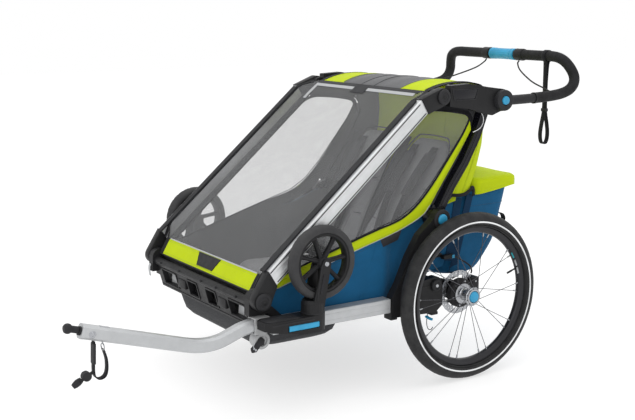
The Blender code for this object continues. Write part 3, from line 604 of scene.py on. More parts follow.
def resample(points, count):
    points = [Vector(p) for p in points]
    lengths = [0.0]
    for a, b in zip(points, points[1:]):
        lengths.append(lengths[-1] + (b - a).length)
    found, k = [], 0
    for i in range(count):
        want = lengths[-1] * i / (count - 1)
        while k < len(points) - 2 and lengths[k + 1] < want:
            k += 1
        span = max(lengths[k + 1] - lengths[k], 1e-9)
        found.append(points[k].lerp(points[k + 1], min(1.0, (want - lengths[k]) / span)))
    return found


def stitches(name, path, material, body=None, dash=0.0034, gap=0.0018, radius=0.00045):
    """A row of short raised stitches along a line."""
    path = [Vector(p) for p in path]
    total = sum((b - a).length for a, b in zip(path, path[1:]))
    count = max(2, int(total / (dash + gap)))
    line = resample(path, count * 3 + 1)
    points, faces = [], []
    for i in range(count):
        a, b = line[i * 3], line[i * 3 + 2]
        along = (b - a).normalized()
        side = along.orthogonal().normalized()
        lift = along.cross(side)
        start = len(points)
        for t, r in ((0.0, 0.3), (0.25, 1.0), (0.75, 1.0), (1.0, 0.3)):
            middle = a.lerp(b, t)
            points += [
                middle + (side * math.cos(q) + lift * math.sin(q)) * radius * r for q in (0.0, 1.57, 3.14, 4.71)
            ]
        for k in range(3):
            for m in range(4):
                n = (m + 1) % 4
                faces.append((start + k * 4 + m, start + k * 4 + n, start + k * 4 + 4 + n, start + k * 4 + 4 + m))
        faces.append((start + 3, start + 2, start + 1, start))
        faces.append((start + 12, start + 13, start + 14, start + 15))
    return add_mesh(name, points, faces, material, body, 60)


def shares(count):
    """Even shares from 0 to 1."""
    return [k / count for k in range(count + 1)]


def turns(count, offset=0.0):
    """Evenly spread angles round a circle, the first of them offset by a share of the spacing."""
    return [2 * math.pi * (k + offset) / count for k in range(count)]


def on_circle(centre, radius, turn):
    return centre[0] + radius * math.cos(turn), centre[1] + radius * math.sin(turn)


def arc(centre, radius, start, end, steps=10):
    """Points of an arc, with its start and end in degrees."""
    return [on_circle(centre, radius, math.radians(start + (end - start) * i / steps)) for i in range(steps + 1)]


def paint(node, material):
    """A CAD node whose shape is right keeps its mesh and gets this material."""
    data = CAD[node].data
    data.materials.clear()
    data.materials.append(M[material])
    return CAD[node]


def paint_pair(node, material):
    for side in ("_left", "_right"):
        paint(node + side, material)



def press_caps(name, node, profile, centre, steps, shape=None):
    """Each side's blue press button, in place of its CAD node and on the body of the same name."""
    for side, sign in SIDES:
        body = f"{node}_{side}"
        ring = [(r, sign * x) for r, x in profile]
        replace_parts(lathe(f"{name}_{side}", ring, centre, "blue", body, steps, shape=shape), body)


# ------------------------------------------------------------------ camera, light and floor


def make_studio():
    camera = bpy.data.objects.new("camera", bpy.data.cameras.new("camera"))
    bpy.context.scene.collection.objects.link(camera)
    camera.data.lens, camera.data.sensor_width = 62.57, 36.0  # millimetres
    camera.location = (2.7666, -1.7362, 1.1003)
    target = Vector((0.0, 0.0739, 0.478))
    camera.rotation_mode = "QUATERNION"
    camera.rotation_quaternion = (target - camera.location).to_track_quat("-Z", "Y")
    camera.data.clip_end = 60
    bpy.context.scene.camera = camera

    world = bpy.data.worlds.new("studio")
    bpy.context.scene.world = world
    world.use_nodes = True
    background = world.node_tree.nodes["Background"]
    background.inputs["Color"].default_value = (1.0, 1.0, 1.0, 1)
    background.inputs["Strength"].default_value = 1.0
    # name, place, what it points at, width, height, watts
    lamps = (
        ("softbox_top", (0.2, 0.0, 3.4), (0, 0, 0.4), 3.4, 3.0, 30),
        ("softbox_front", (2.6, -3.2, 2.2), (0, -0.1, 0.5), 2.4, 2.4, 26),
        ("softbox_rear", (-1.2, 3.4, 2.4), (0, 0.2, 0.6), 2.4, 2.0, 14),
    )
    for name, place, aim, width, height, power in lamps:
        light = bpy.data.lights.new(name, "AREA")
        light.shape, light.size, light.size_y, light.energy = "RECTANGLE", width, height, power
        lamp = bpy.data.objects.new(name, light)
        bpy.context.scene.collection.objects.link(lamp)
        lamp.location = place
        lamp.rotation_euler = (Vector(aim) - Vector(place)).to_track_quat("-Z", "Y").to_euler()
    bpy.context.scene.view_settings.view_transform = "Standard"

    mesh = bpy.data.meshes.new("floor")
    reach = 14.0  # half the floor's side
    mesh.from_pydata(
        [(-reach, -reach, 0), (reach, -reach, 0), (reach, reach, 0), (-reach, reach, 0)], [], [(0, 1, 2, 3)]
    )
    floor = bpy.data.objects.new("floor", mesh)
    bpy.context.scene.collection.objects.link(floor)
    floor.location.z = -0.0005  # just under the tyres
    g = Graph("studio_floor", (0.45, 0.45, 0.45), 0.9)
    g.set("Specular IOR Level", 0.0)
    g.set("Emission Color", (1.0, 1.0, 1.0, 1.0))
    g.set("Emission Strength", 0.6)
    g.link(
        g.mix(g.spread(g.noise(2.0, 2.0), 0.3, 0.7, 0.0, 1.0), (0.445, 0.445, 0.445), (0.455, 0.455, 0.455)),
        "Base Color"
    )
    mesh.materials.append(g.material)


make_studio()

# ------------------------------------------------------------------ lofted shells


def rounded_loop(x_half, y_low, y_high, z, radius, count=64):
    """A rounded rectangle in plan, as evenly spread axle-frame points; z may be a function of (x, y)."""
    middle = (y_low + y_high) / 2
    half = (y_high - y_low) / 2
    radius = min(radius, half * 0.98, x_half * 0.98)
    corners = ((x_half - radius, half - radius, 0), (radius - x_half, half - radius, 90))
    corners += ((radius - x_half, radius - half, 180), (x_half - radius, radius - half, 270))
    line = []
    for cx, cy, start in corners:
        for k in range(9):
            a = math.radians(start + 90 * k / 8)
            line.append(Vector((cx + radius * math.cos(a), middle + cy + radius * math.sin(a), 0)))
    line.append(line[0])
    found = resample(line, count + 1)[:-1]
    return [P(p.x, p.y, z(p.x, p.y) if callable(z) else z) for p in found]


def loft(name, loops, material, body=None, cap_first=False, cap_last=False, angle=50.0):
    count = len(loops[0])
    points = [p for loop in loops for p in loop]
    faces = []
    for i in range(len(loops) - 1):
        for k in range(count):
            m = (k + 1) % count
            faces.append((i * count + k, i * count + m, (i + 1) * count + m, (i + 1) * count + k))
    for wanted, index in ((cap_first, 0), (cap_last, len(loops) - 1)):
        if wanted:
            points.append(sum(loops[index], Vector()) / count)
            for k in range(count):
                faces.append((index * count + k, index * count + (k + 1) % count, len(points) - 1))
    return add_mesh(name, points, faces, material, body, angle)


def thickened(obj, thickness, material, body=None, offset=-1.0, angle=50.0):
    step = obj.modifiers.new("cloth", "SOLIDIFY")
    step.thickness, step.offset = thickness, offset
    return dress(baked(obj), material, body, angle)


def puckered(obj, depth, scale, seed=0.0, keep=None):
    """Moves each point a little along its normal by smooth noise, as cloth that hangs unevenly."""
    normals = [v.normal.copy() for v in obj.data.vertices]
    for v, n in zip(obj.data.vertices, normals):
        weight = keep(v.co) if keep else 1.0
        v.co += n * depth * weight * noise.noise(v.co * scale + Vector((seed, seed * 0.7, seed * 1.3)))
    return obj


# ------------------------------------------------------------------ cabin: side panels


WINDOW_LOW = [(-0.622, 0.368), (-0.56, 0.388), (-0.371, 0.442), (-0.283, 0.466), (-0.202, 0.487), (-0.144, 0.521)]
WINDOW_LOW += [(-0.087, 0.577), (-0.025, 0.654), (0.02, 0.712), (0.041, 0.745), (0.05, 0.762)]
WINDOW_HIGH = [(-0.63, 0.3735), (-0.56, 0.433), (-0.4, 0.5695), (-0.26, 0.689), (-0.16, 0.7742), (-0.128, 0.79)]
WINDOW_HIGH += [(-0.1, 0.795), (-0.045, 0.791), (0.01, 0.783), (0.038, 0.776), (0.05, 0.764)]
LIME_LOW = [(-0.651, 0.345), (-0.614, 0.342), (-0.57, 0.355), (-0.362, 0.413), (-0.212, 0.453), (-0.125, 0.488)]
LIME_LOW += [(-0.093, 0.518), (-0.064, 0.56), (0.005, 0.655), (0.04, 0.705), (0.057, 0.731)]
EDGE_HIGH = [(-0.651, 0.353), (-0.56, 0.431), (-0.4, 0.568), (-0.26, 0.687), (-0.13, 0.7975)]
EDGE_HIGH += [(-0.08, 0.804), (0.0, 0.796), (0.048, 0.785), (0.062, 0.77), (0.062, 0.75), (0.057, 0.731)]
PANEL_X = 0.2955


def bow(u, v, height):
    """How far a held sheet stands proud between its edges."""
    return height * math.sin(math.pi * u) * math.sin(math.pi * v)


def between(low, high, count, x, height=0.0):
    """surface(u, v) between two lines of (y, z) points at one x, bowed outwards by height."""
    a, b = resample(flat(low, x), count), resample(flat(high, x), count)

    def surface(u, v):
        k = min(int(round(u * (count - 1))), count - 1)
        return a[k].lerp(b[k], v) + X_AXIS * bow(u, v, height)

    return surface


def ruled(a, b):
    """surface(u, v) of straight lines between the points of two lists of one length."""
    last = len(a) - 1
    return lambda u, v: a[int(round(u * last))].lerp(b[int(round(u * last))], v)


def inset(line, others, share):
    """A line moved part of the way towards another line of as many points."""
    a, b = resample(flat(line, 0), 60), resample(flat(others, 0), 60)
    return [(p.lerp(q, share).y - AXLE_Y, p.lerp(q, share).z) for p, q in zip(a, b)]


def side_fabric(obj):
    """Mirrors a side panel's piece and bakes each copy's placement into its mesh. The panel is held by the base
    below and by the folding tube above; neither copy is bound to them here.
    """
    sides = [obj, mirror(obj)]
    for piece in sides:
        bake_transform(piece)
    return sides


def make_side_panels():
    made = [
        patch(
            "side_window_film_left", between(WINDOW_LOW, WINDOW_HIGH, 61, PANEL_X, 0.0015), 60, 12, 0.0008,
            "side_film"
        ),
        patch(
            "side_lime_band_left", between(LIME_LOW, WINDOW_LOW, 61, PANEL_X, 0.0015), 60, 6, 0.0022, "lime_cloth"
        ),
        patch(
            "side_black_border_left", between(WINDOW_HIGH, EDGE_HIGH, 61, PANEL_X - 0.0002), 60, 4, 0.0024,
            "black_cloth"
        ),
    ]
    low, high = (smooth(flat(line, PANEL_X + 0.0008), 4) for line in (WINDOW_LOW, WINDOW_HIGH))
    loop = low + high[::-1][1:-1]
    made.append(pipe("side_window_piping_left", loop, 0.0028, "black_cloth", sides=8, closed=True))
    inner = inset(WINDOW_LOW, WINDOW_HIGH, 0.03)
    made.append(pipe("side_window_binding_left", flat(inner, PANEL_X + 0.0004), 0.0013, "seat_edge", sides=6))
    for k, share in enumerate((0.16, 0.27, 0.84)):
        line = inset(LIME_LOW, WINDOW_LOW, share)[2:-2]
        made.append(stitches(f"side_stitching_{k}_left", flat(line, PANEL_X + 0.0022), "thread"))
    seam = inset(LIME_LOW, WINDOW_LOW, 0.55)[2:-2]
    made.append(pipe("side_band_seam_left", flat(seam, PANEL_X + 0.001), 0.0012, "lime_cloth", sides=6))
    low_edge = [(y, z + 0.001) for y, z in LIME_LOW[:7]]
    made.append(
        pipe(
            "side_reflective_piping_left", smooth(flat(low_edge, PANEL_X + 0.0012), 4), 0.0014, "silver_tape",
            sides=6
        )
    )
    label = [(-0.272, 0.4365), (-0.196, 0.4575), (-0.209, 0.429), (-0.262, 0.414)]
    made.append(plate("side_label_left", label, PANEL_X + 0.0006, PANEL_X + 0.0022, "black_soft", bevel=0.0006))
    made.append(
        patch("side_lining_left", between(LIME_LOW, WINDOW_LOW, 61, PANEL_X - 0.0036), 60, 6, 0.0012, "lining")
    )
    tube_side = resample(flat(EDGE_HIGH[:5], PANEL_X - 0.0004), 41)

    def closing(u, v):
        """The dark strip from the panel's front edge up to the folding tube."""
        k = min(int(round(u * 40)), 40)
        return tube_side[k] + Vector((0.0185, -0.005, 0.011)) * v

    made.append(patch("side_tube_lining_left", closing, 40, 4, 0.0014, "dark_cloth"))
    head = resample(flat([(-0.13, 0.797), (-0.08, 0.8032), (0.0, 0.7952), (0.05, 0.784)], 0.2935), 25)
    crest = resample(flat([(-0.108, 0.8385), (-0.07, 0.85), (0.0, 0.8585), (0.09, 0.852)], 0.279), 25)
    made.append(patch("side_head_lining_left", ruled(head, crest), 24, 5, 0.0014, "dark_cloth"))
    pieces = [p for obj in made for p in side_fabric(obj)]
    for name in ("side_window_left", "side_window_right"):
        film_piece = next(p for p in pieces if p.name == name.replace("window", "window_film"))
        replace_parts(film_piece, name)


make_side_panels()

# ------------------------------------------------------------------ cabin: tub, footwell and seats


def wall_x(y):
    """Half width of the tub: full beside the seats, narrower behind them to clear the posts."""
    t = min(max((y + 0.262) / 0.045, 0.0), 1.0)
    return 0.2952 + (0.2762 - 0.2952) * t * t * (3 - 2 * t)


TUB_TOP = [(-0.652, 0.342), (-0.614, 0.343), (-0.57, 0.356), (-0.362, 0.413), (-0.212, 0.453), (-0.15, 0.474)]
TUB_TOP += [(-0.11, 0.488), (0.1, 0.488)]


def top_of_tub(y):
    for (a, za), (b, zb) in zip(TUB_TOP, TUB_TOP[1:]):
        if y <= b:
            return za + (zb - za) * max(0.0, (y - a) / (b - a))
    return TUB_TOP[-1][1]


def tub_loop(t):
    """The tub's outline in plan at this share of its height."""
    front, rear = -0.65, -0.16 + (0.122 * max(0.0, t) ** 1.05)
    side = 40
    line = []
    for k in range(side + 1):
        y = front + (rear - front) * k / side
        line.append((wall_x(y), y))
    across = 24
    for k in range(1, across):
        line.append((wall_x(rear) * (1 - 2 * k / across), rear))
    line += [(-x, y) for x, y in reversed(line[: side + 1])]
    for k in range(1, across):
        line.append((-wall_x(front) * (1 - 2 * k / across), front))
    loop = []
    for x, y in line:
        top = top_of_tub(y) if abs(y - rear) > 0.001 else 0.488
        z = 0.2435 + (top - 0.2435) * t
        share = (y - front) / (rear - front)
        bulge = 0.0022 * math.sin(math.pi * min(max(t, 0), 1)) * math.sin(math.pi * min(max(share, 0), 1))
        loop.append(P(x + math.copysign(bulge, x), y, z))
    return loop


def make_tub():
    tub = loft("lower_body_shell", [tub_loop(k / 14) for k in range(15)], "blue_cloth", angle=45)
    tub = thickened(tub, 0.0022, "blue_cloth", offset=0.0)
    puckered(tub, 0.0022, 9.0, 3.0, lambda p: 1.0 if abs(p.x) < 0.2935 or p.y > AXLE_Y - 0.6 else 0.0)
    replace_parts(tub, "lower_body")
    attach(tub, "base")
    inside = [
        [
            Vector((p.x * 0.9895, AXLE_Y + (p.y - AXLE_Y + 0.4) * 0.986 - 0.4, p.z + 0.0006))
            for p in tub_loop(k / 14)
        ] for k in range(15)
    ]
    loft("lower_body_lining", inside, "lining", "base", angle=45)
    patch(
        "lower_body_floor", lambda u, v: P(-0.288 + 0.576 * u, -0.375 + 0.215 * v, 0.2455), 24, 12, 0.002,
        "dark_cloth", "base"
    )
    for k, (low, high) in enumerate((((-0.292, -0.648), (-0.243, -0.375)), ((0.243, -0.648), (0.292, -0.375)))):
        patch(
            f"lower_body_floor_side_{k}",
            lambda u, v: P(low[0] + (high[0] - low[0]) * u, low[1] + (high[1] - low[1]) * v, 0.2455), 4, 12, 0.002,
            "dark_cloth", "base"
        )
    for share, name in ((0.045, "low"), (0.955, "high")):
        line = [tub_loop(share)[k] + X_AXIS * 0.0022 for k in range(2, 39)]
        both(stitches(f"lower_body_{name}_seam_left", line, "dark_thread"), "base")
    seam = [tub_loop(k / 14)[24] + X_AXIS * 0.0012 for k in range(15)]
    both(pipe("lower_body_seam_left", seam, 0.0011, "blue_cloth", sides=6), "base")


make_tub()


def make_footwell():
    # height, how far in from the sides and from the ends, and corner radius
    loops = []
    levels = [
        (0.2395, 0.0, 0.0, 0.016), (0.22, 0.004, 0.004, 0.02), (0.196, 0.009, 0.007, 0.026),
        (0.176, 0.015, 0.012, 0.034)
    ]
    levels += [(0.163, 0.026, 0.022, 0.044), (0.1565, 0.04, 0.036, 0.05), (0.1545, 0.06, 0.055, 0.05)]
    for z, inset_x, inset_y, radius in levels:
        loops.append(rounded_loop(0.2475 - inset_x, -0.651 + inset_y, -0.364 - inset_y * 0.8, z, radius, 72))
    well = loft("footwell_shell", loops, "dark_cloth", cap_last=True)
    well = thickened(well, 0.0022, "dark_cloth", "base", offset=-1.0)
    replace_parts(well, "footwell")
    hem = rounded_loop(0.2475, -0.651, -0.364, 0.239, 0.016, 72)
    pipe("footwell_hem", hem, 0.0024, "black_cloth", "base", 8, closed=True)
    for k in (1, 3):
        z, inset_x, inset_y, radius = levels[k]
        loop = rounded_loop(0.2475 - inset_x + 0.0006, -0.6516 + inset_y, -0.3634 - inset_y * 0.8, z, radius, 96)
        stitches(f"footwell_stitching_{k}", loop + loop[:1], "dark_thread", "base")


make_footwell()


def swollen(obj, reach, pressure=4.0, voxel=0.006):
    """Fills a closed shape as a stuffed pad: remesh, a short cloth simulation under pressure with each
    point's movement capped, and one subdivision."""
    remesh = obj.modifiers.new("remesh", "REMESH")
    remesh.mode, remesh.voxel_size = "VOXEL", voxel
    obj = baked(obj)
    rest = np.array([v.co for v in obj.data.vertices])
    cloth = obj.modifiers.new("cloth", "CLOTH")
    cloth.settings.use_pressure = True
    cloth.settings.uniform_pressure_force = pressure
    cloth.settings.effector_weights.gravity = 0.0
    cloth.settings.quality = 4
    cloth.settings.tension_stiffness = cloth.settings.compression_stiffness = 12.0
    cloth.settings.mass = 0.25
    cloth.point_cache.frame_start, cloth.point_cache.frame_end = 1, 20
    scene = bpy.context.scene
    for step in range(1, 21):
        scene.frame_set(step)
    obj = baked(obj)
    scene.frame_set(1)
    moved = np.array([v.co for v in obj.data.vertices])
    shift = moved - rest
    length = np.linalg.norm(shift, axis=1, keepdims=True)
    shift *= np.minimum(1.0, reach / np.maximum(length, 1e-9))
    obj.data.vertices.foreach_set("co", (rest + shift).ravel())
    return subdivided(obj)


SEAT_LOW, SEAT_HIGH = Vector((-0.1615, 0.325)), Vector((0.057, 0.695))
SEAT_ALONG = (SEAT_HIGH - SEAT_LOW).normalized()
SEAT_OUT = Vector((-SEAT_ALONG.y, SEAT_ALONG.x))


def on_seat(x, s, out):
    """A point of the seat back: s metres up from its foot and out metres in front of its middle."""
    y, z = SEAT_LOW + SEAT_ALONG * s + SEAT_OUT * out
    return P(x, y, z)


def pad_mesh(name, outline, thickness, place):
    """A closed pad from a plan outline: place(a, b, depth) puts each point in the row frame."""
    count = len(outline)
    centre = sum((Vector(p) for p in outline), Vector((0, 0))) / count
    points, faces, rings = [], [], []
    for share, depth in (
        (0.0, 0.5), (0.55, 0.5), (0.93, 0.42), (1.0, 0.0), (0.93, -0.42), (0.55, -0.5), (0.0, -0.5)
    ):
        start = len(points)
        if share == 0.0:
            points.append(place(centre.x, centre.y, depth * thickness))
            rings.append([start])
            continue
        for p in outline:
            q = centre + (Vector(p) - centre) * share
            points.append(place(q.x, q.y, depth * thickness))
        rings.append(list(range(start, start + count)))
    for a, b in zip(rings, rings[1:]):
        for k in range(count):
            m = (k + 1) % count
            if len(a) == 1:
                faces.append((a[0], b[k], b[m]))
            elif len(b) == 1:
                faces.append((a[k], b[0], a[m]))
            else:
                faces.append((a[k], b[k], b[m], a[m]))
    return add_mesh(name, points, faces, "seat_cloth")


def seat_blend(obj):
    """Bakes a seat piece's placement into its mesh. Seat backs lean back with the uprights when the frame folds;
    nothing here makes them follow.
    """
    on_seat(0, 0.02, 0)
    on_seat(0, 0.4, 0)
    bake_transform(obj)
    return obj


def make_seats():
    half = 0.112
    back = [(-half, 0.0), (-half - 0.004, 0.18), (-half + 0.004, 0.34), (-0.078, 0.416), (-0.04, 0.428)]
    back += [(-x, s) for x, s in reversed(back)]
    back = [(p.x, p.y) for p in smooth([(x, s, 0) for x, s in back], 4, closed=True)]
    seat = [(-half, -0.44), (-half - 0.003, -0.33), (-half, -0.212), (-0.04, -0.208)]
    seat += [(-x, s) for x, s in reversed(seat)]
    seat = [(p.x, p.y) for p in smooth([(x, s, 0) for x, s in seat], 4, closed=True)]
    middle = 0.135
    pad = pad_mesh("seat_back_pad_left", back, 0.022, lambda a, b, d: on_seat(middle + a, b, d))
    pad = dress(swollen(pad, 0.007), "seat_cloth")
    pad.name = "seat_back_pad_left"
    base = pad_mesh("seat_cushion_pad_left", seat, 0.032, lambda a, b, d: P(middle + a, b, 0.272 + d))
    base = dress(swollen(base, 0.007), "seat_cloth")
    base.name = "seat_cushion_pad_left"
    right_pad, right_base = mirror(pad), mirror(base)
    for obj in (pad, right_pad):
        seat_blend(obj)
    for obj in (base, right_base):
        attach(obj, "base")
    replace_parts(pad, "seat_back")
    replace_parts(base, "seat_cushion")
    rim = [on_seat(middle + x, s, 0.006) for x, s in back]
    lines = [pipe("seat_back_piping_left", rim, 0.0026, "seat_edge", sides=6, closed=True)]
    for k, s in enumerate((0.13, 0.255)):
        line = [
            on_seat(
                middle + half * (2 * t / 20 - 1) * 0.94, s - 0.01 * math.cos(math.pi * (t / 10 - 1) / 2), 0.0165
            ) for t in range(21)
        ]
        lines.append(pipe(f"seat_back_seam_{k}_left", line, 0.0014, "seat_edge", sides=6))
    for x in (-0.06, 0.06):
        line = [on_seat(middle + x, 0.03 + 0.34 * t / 16, 0.0168) for t in range(17)]
        lines.append(pipe(f"seat_back_channel_{'a' if x < 0 else 'b'}_left", line, 0.0012, "seat_edge", sides=6))
    strap = slab(0.03, 0.0022)
    for x, tag in ((-0.048, "a"), (0.048, "b")):
        path = [
            on_seat(middle + x * (1 - 0.35 * t), 0.385 - 0.345 * t, 0.021 + 0.02 * math.sin(math.pi * t))
            for t in shares(16)
        ]
        lines.append(sweep(f"harness_strap_{tag}_left", path, strap, "webbing", up=(0, -0.8, 0.5)))
        pad_path = [
            on_seat(middle + x * (1 - 0.35 * t), 0.375 - 0.345 * t, 0.024 + 0.02 * math.sin(math.pi * t))
            for t in shares(40)[2:20]
        ]
        lines.append(
            sweep(f"harness_pad_{tag}_left", pad_path, slab(0.044, 0.009, 0.004), "seat_edge", up=(0, -0.8, 0.5))
        )
    for obj in lines:
        for one in (obj, mirror(obj)):
            seat_blend(one)
    buckle = rounded_box(
        "harness_buckle_left", (middle - 0.024, -0.262, 0.296), (middle + 0.024, -0.232, 0.308), "black_soft", None,
        0.004
    )
    crotch = sweep(
        "crotch_strap_left",
        [P(middle, -0.33, 0.2975), P(middle, -0.3, 0.299), P(middle, -0.262, 0.302), P(middle, -0.248, 0.303)],
        slab(0.026, 0.002), "webbing", up=(0, 0, 1)
    )
    tag = rounded_box(
        "harness_clip_left", (middle - 0.008, -0.258, 0.3075), (middle + 0.008, -0.24, 0.3105), "line", None, 0.001
    )
    for obj in (buckle, crotch, tag):
        both(obj, "base")
    between_seats = patch(
        "seat_divider", lambda u, v: on_seat(-0.022 + 0.044 * u, 0.005 + 0.41 * v, 0.004 - 0.004 * abs(2 * u - 1)),
        6, 24, 0.004, "seat_edge"
    )
    seat_blend(between_seats)
    for tag, side in SIDES:
        wing = patch(
            f"seat_side_{tag}",
            lambda u, v: on_seat(side * (0.247 + 0.016 * u), 0.005 + 0.4 * v, -0.004 + 0.014 * u), 4, 24, 0.003,
            "seat_edge"
        )
        seat_blend(wing)
    patch(
        "seat_front_edge", lambda u, v: P(-0.25 + 0.5 * u, -0.4435 - 0.002 * math.sin(12 * u), 0.25 + 0.03 * v), 40,
        4, 0.002, "seat_edge", "base"
    )


make_seats()

# ------------------------------------------------------------------ bag, lid and rear panels


def make_bag():
    # height, front and rear of each ring
    levels = [
        (0.2835, 0.006, 0.108), (0.285, -0.006, 0.124), (0.293, -0.0155, 0.143), (0.312, -0.0115, 0.1655),
        (0.34, -0.0025, 0.1885)
    ]
    levels += [
        (0.37, 0.007, 0.214), (0.41, 0.02, 0.2285), (0.45, 0.0325, 0.24), (0.49, 0.046, 0.25),
        (0.525, 0.057, 0.259), (0.5395, 0.0615, 0.263)
    ]
    loops = []
    for k, (z, front, rear) in enumerate(levels):
        inset_x = max(0.0, 0.016 - 0.008 * k)
        loops.append(rounded_loop(0.2545 - inset_x, front, rear, z, 0.04, 96))
    bag = loft("cargo_bag_shell", loops[::-1], "blue_cloth", cap_last=True)
    bag = subdivided(bag)
    puckered(bag, 0.003, 13.0, 8.0, lambda p: 0.0 if p.z > 0.52 else min(1.0, (0.52 - p.z) * 14))
    bag = thickened(bag, 0.0026, "blue_cloth", "base", offset=-1.0)
    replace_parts(bag, "cargo_bag")
    hem = rounded_loop(0.255, 0.0612, 0.2634, 0.5378, 0.04, 96)
    pipe("cargo_bag_hem", hem, 0.0026, "black_cloth", "base", 8, closed=True)
    for k, z in ((8, 0.5), (2, 0.303)):
        level = levels[k]
        loop = rounded_loop(0.2552, level[1] - 0.0006, level[2] + 0.0006, level[0], 0.04, 120)
        stitches(f"cargo_bag_stitching_{k}", loop + loop[:1], "dark_thread", "base")
    # A dark navy strip down the bag's side: painted shade that stands in for the shaded fold of the blue cloth, not
    # a real strap.
    strap = slab(0.026, 0.0018)
    foot, head = 0.03, 0.094
    path = [P(0.2566 - 0.0075 * max(0, 1 - t * 6), foot + (head - foot) * t, 0.288 + 0.24 * t) for t in shares(16)]
    both(sweep("cargo_bag_strap_a_left", path, strap, "fold_shade_cloth", up=(1, 0, 0)), "base")
    seam = [P(0.2562, level[1] + 0.03, level[0]) for level in levels[2:-1]]
    both(pipe("cargo_bag_seam_left", seam, 0.0012, "blue_cloth", sides=6), "base")
    rear = [P(0.0, level[2] + 0.0014, level[0]) for level in levels[3:-1]]
    for x in (-0.12, 0.12):
        pipe(
            f"cargo_bag_rear_seam_{'a' if x < 0 else 'b'}", [p + X_AXIS * x for p in rear], 0.0013, "blue_cloth",
            "base", 6
        )
    tab = [
        P(0.235, 0.2395, 0.452), P(0.235, 0.248, 0.446), P(0.235, 0.253, 0.434), P(0.235, 0.247, 0.424),
        P(0.235, 0.233, 0.42)
    ]
    both(sweep("cargo_bag_tab_left", smooth(tab, 4), slab(0.02, 0.0022), "webbing", up=(0, 1, 0.2)), "base")


make_bag()


def make_bag_lid():
    def skirt_z(y):
        """The lid's lower edge, which rises towards the rear."""
        return 0.524 + 0.02 * min(max((y - 0.1) / 0.16, 0.0), 1.0) ** 1.3

    def crown(x, y):
        u, v = x / 0.262, (y - 0.1925) / 0.0925
        return 0.5715 + 0.015 * (1 - u**4) * (1 - v * v) + 0.004 * (1 - v) * (1 - u * u)

    loops = []
    for share in (0.1, 0.35, 0.6, 0.8, 0.93, 0.985):
        loops.append(
            rounded_loop(0.26 * share, 0.1925 - 0.0895 * share, 0.1925 + 0.0895 * share, crown, 0.034 * share, 112)
        )
    loops.append(rounded_loop(0.2618, 0.103, 0.2842, 0.568, 0.03, 112))
    for share in (0.25, 0.6, 1.0):
        loops.append(
            rounded_loop(0.2625, 0.1025, 0.2848, lambda x, y, s=share: 0.566 + (skirt_z(y) - 0.566) * s, 0.03, 112)
        )
    lid = loft("bag_lid_cover", loops, "lime_cloth", cap_first=True, angle=45)
    puckered(lid, 0.0022, 11.0, 5.0, lambda p: 1.0 if p.z > 0.569 else 0.15)
    lid = thickened(lid, 0.0018, "lime_cloth", "bag_lid", offset=1.0)
    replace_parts(lid, "bag_lid")
    hem = rounded_loop(0.2632, 0.1018, 0.2855, lambda x, y: skirt_z(y) + 0.001, 0.03, 112)
    pipe("bag_lid_hem", hem, 0.0018, "lime_cloth", "bag_lid", 6, closed=True)
    row = rounded_loop(0.264, 0.1012, 0.2862, lambda x, y: skirt_z(y) + 0.0075, 0.03, 140)
    stitches("bag_lid_stitching", row + row[:1], "thread", "bag_lid")
    edge = rounded_loop(0.2612, 0.1036, 0.2836, 0.5698, 0.03, 112)
    pipe("bag_lid_piping", edge, 0.0016, "lime_cloth", "bag_lid", 6, closed=True)
    seam = [P(0.0, 0.105 + 0.175 * t / 20, crown(0, 0.105 + 0.175 * t / 20) + 0.0016) for t in range(21)]
    for x in (-0.09, 0.09):
        pipe(
            f"bag_lid_seam_{'a' if x < 0 else 'b'}", [p + X_AXIS * x for p in seam], 0.0012, "lime_cloth",
            "bag_lid", 6
        )


make_bag_lid()


def rear_blend(obj):
    """Bakes a rear piece's placement into its mesh. The piece is held by the base at its foot and by the uprights'
    heads at its top; it is bound to neither here.
    """
    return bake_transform(obj)


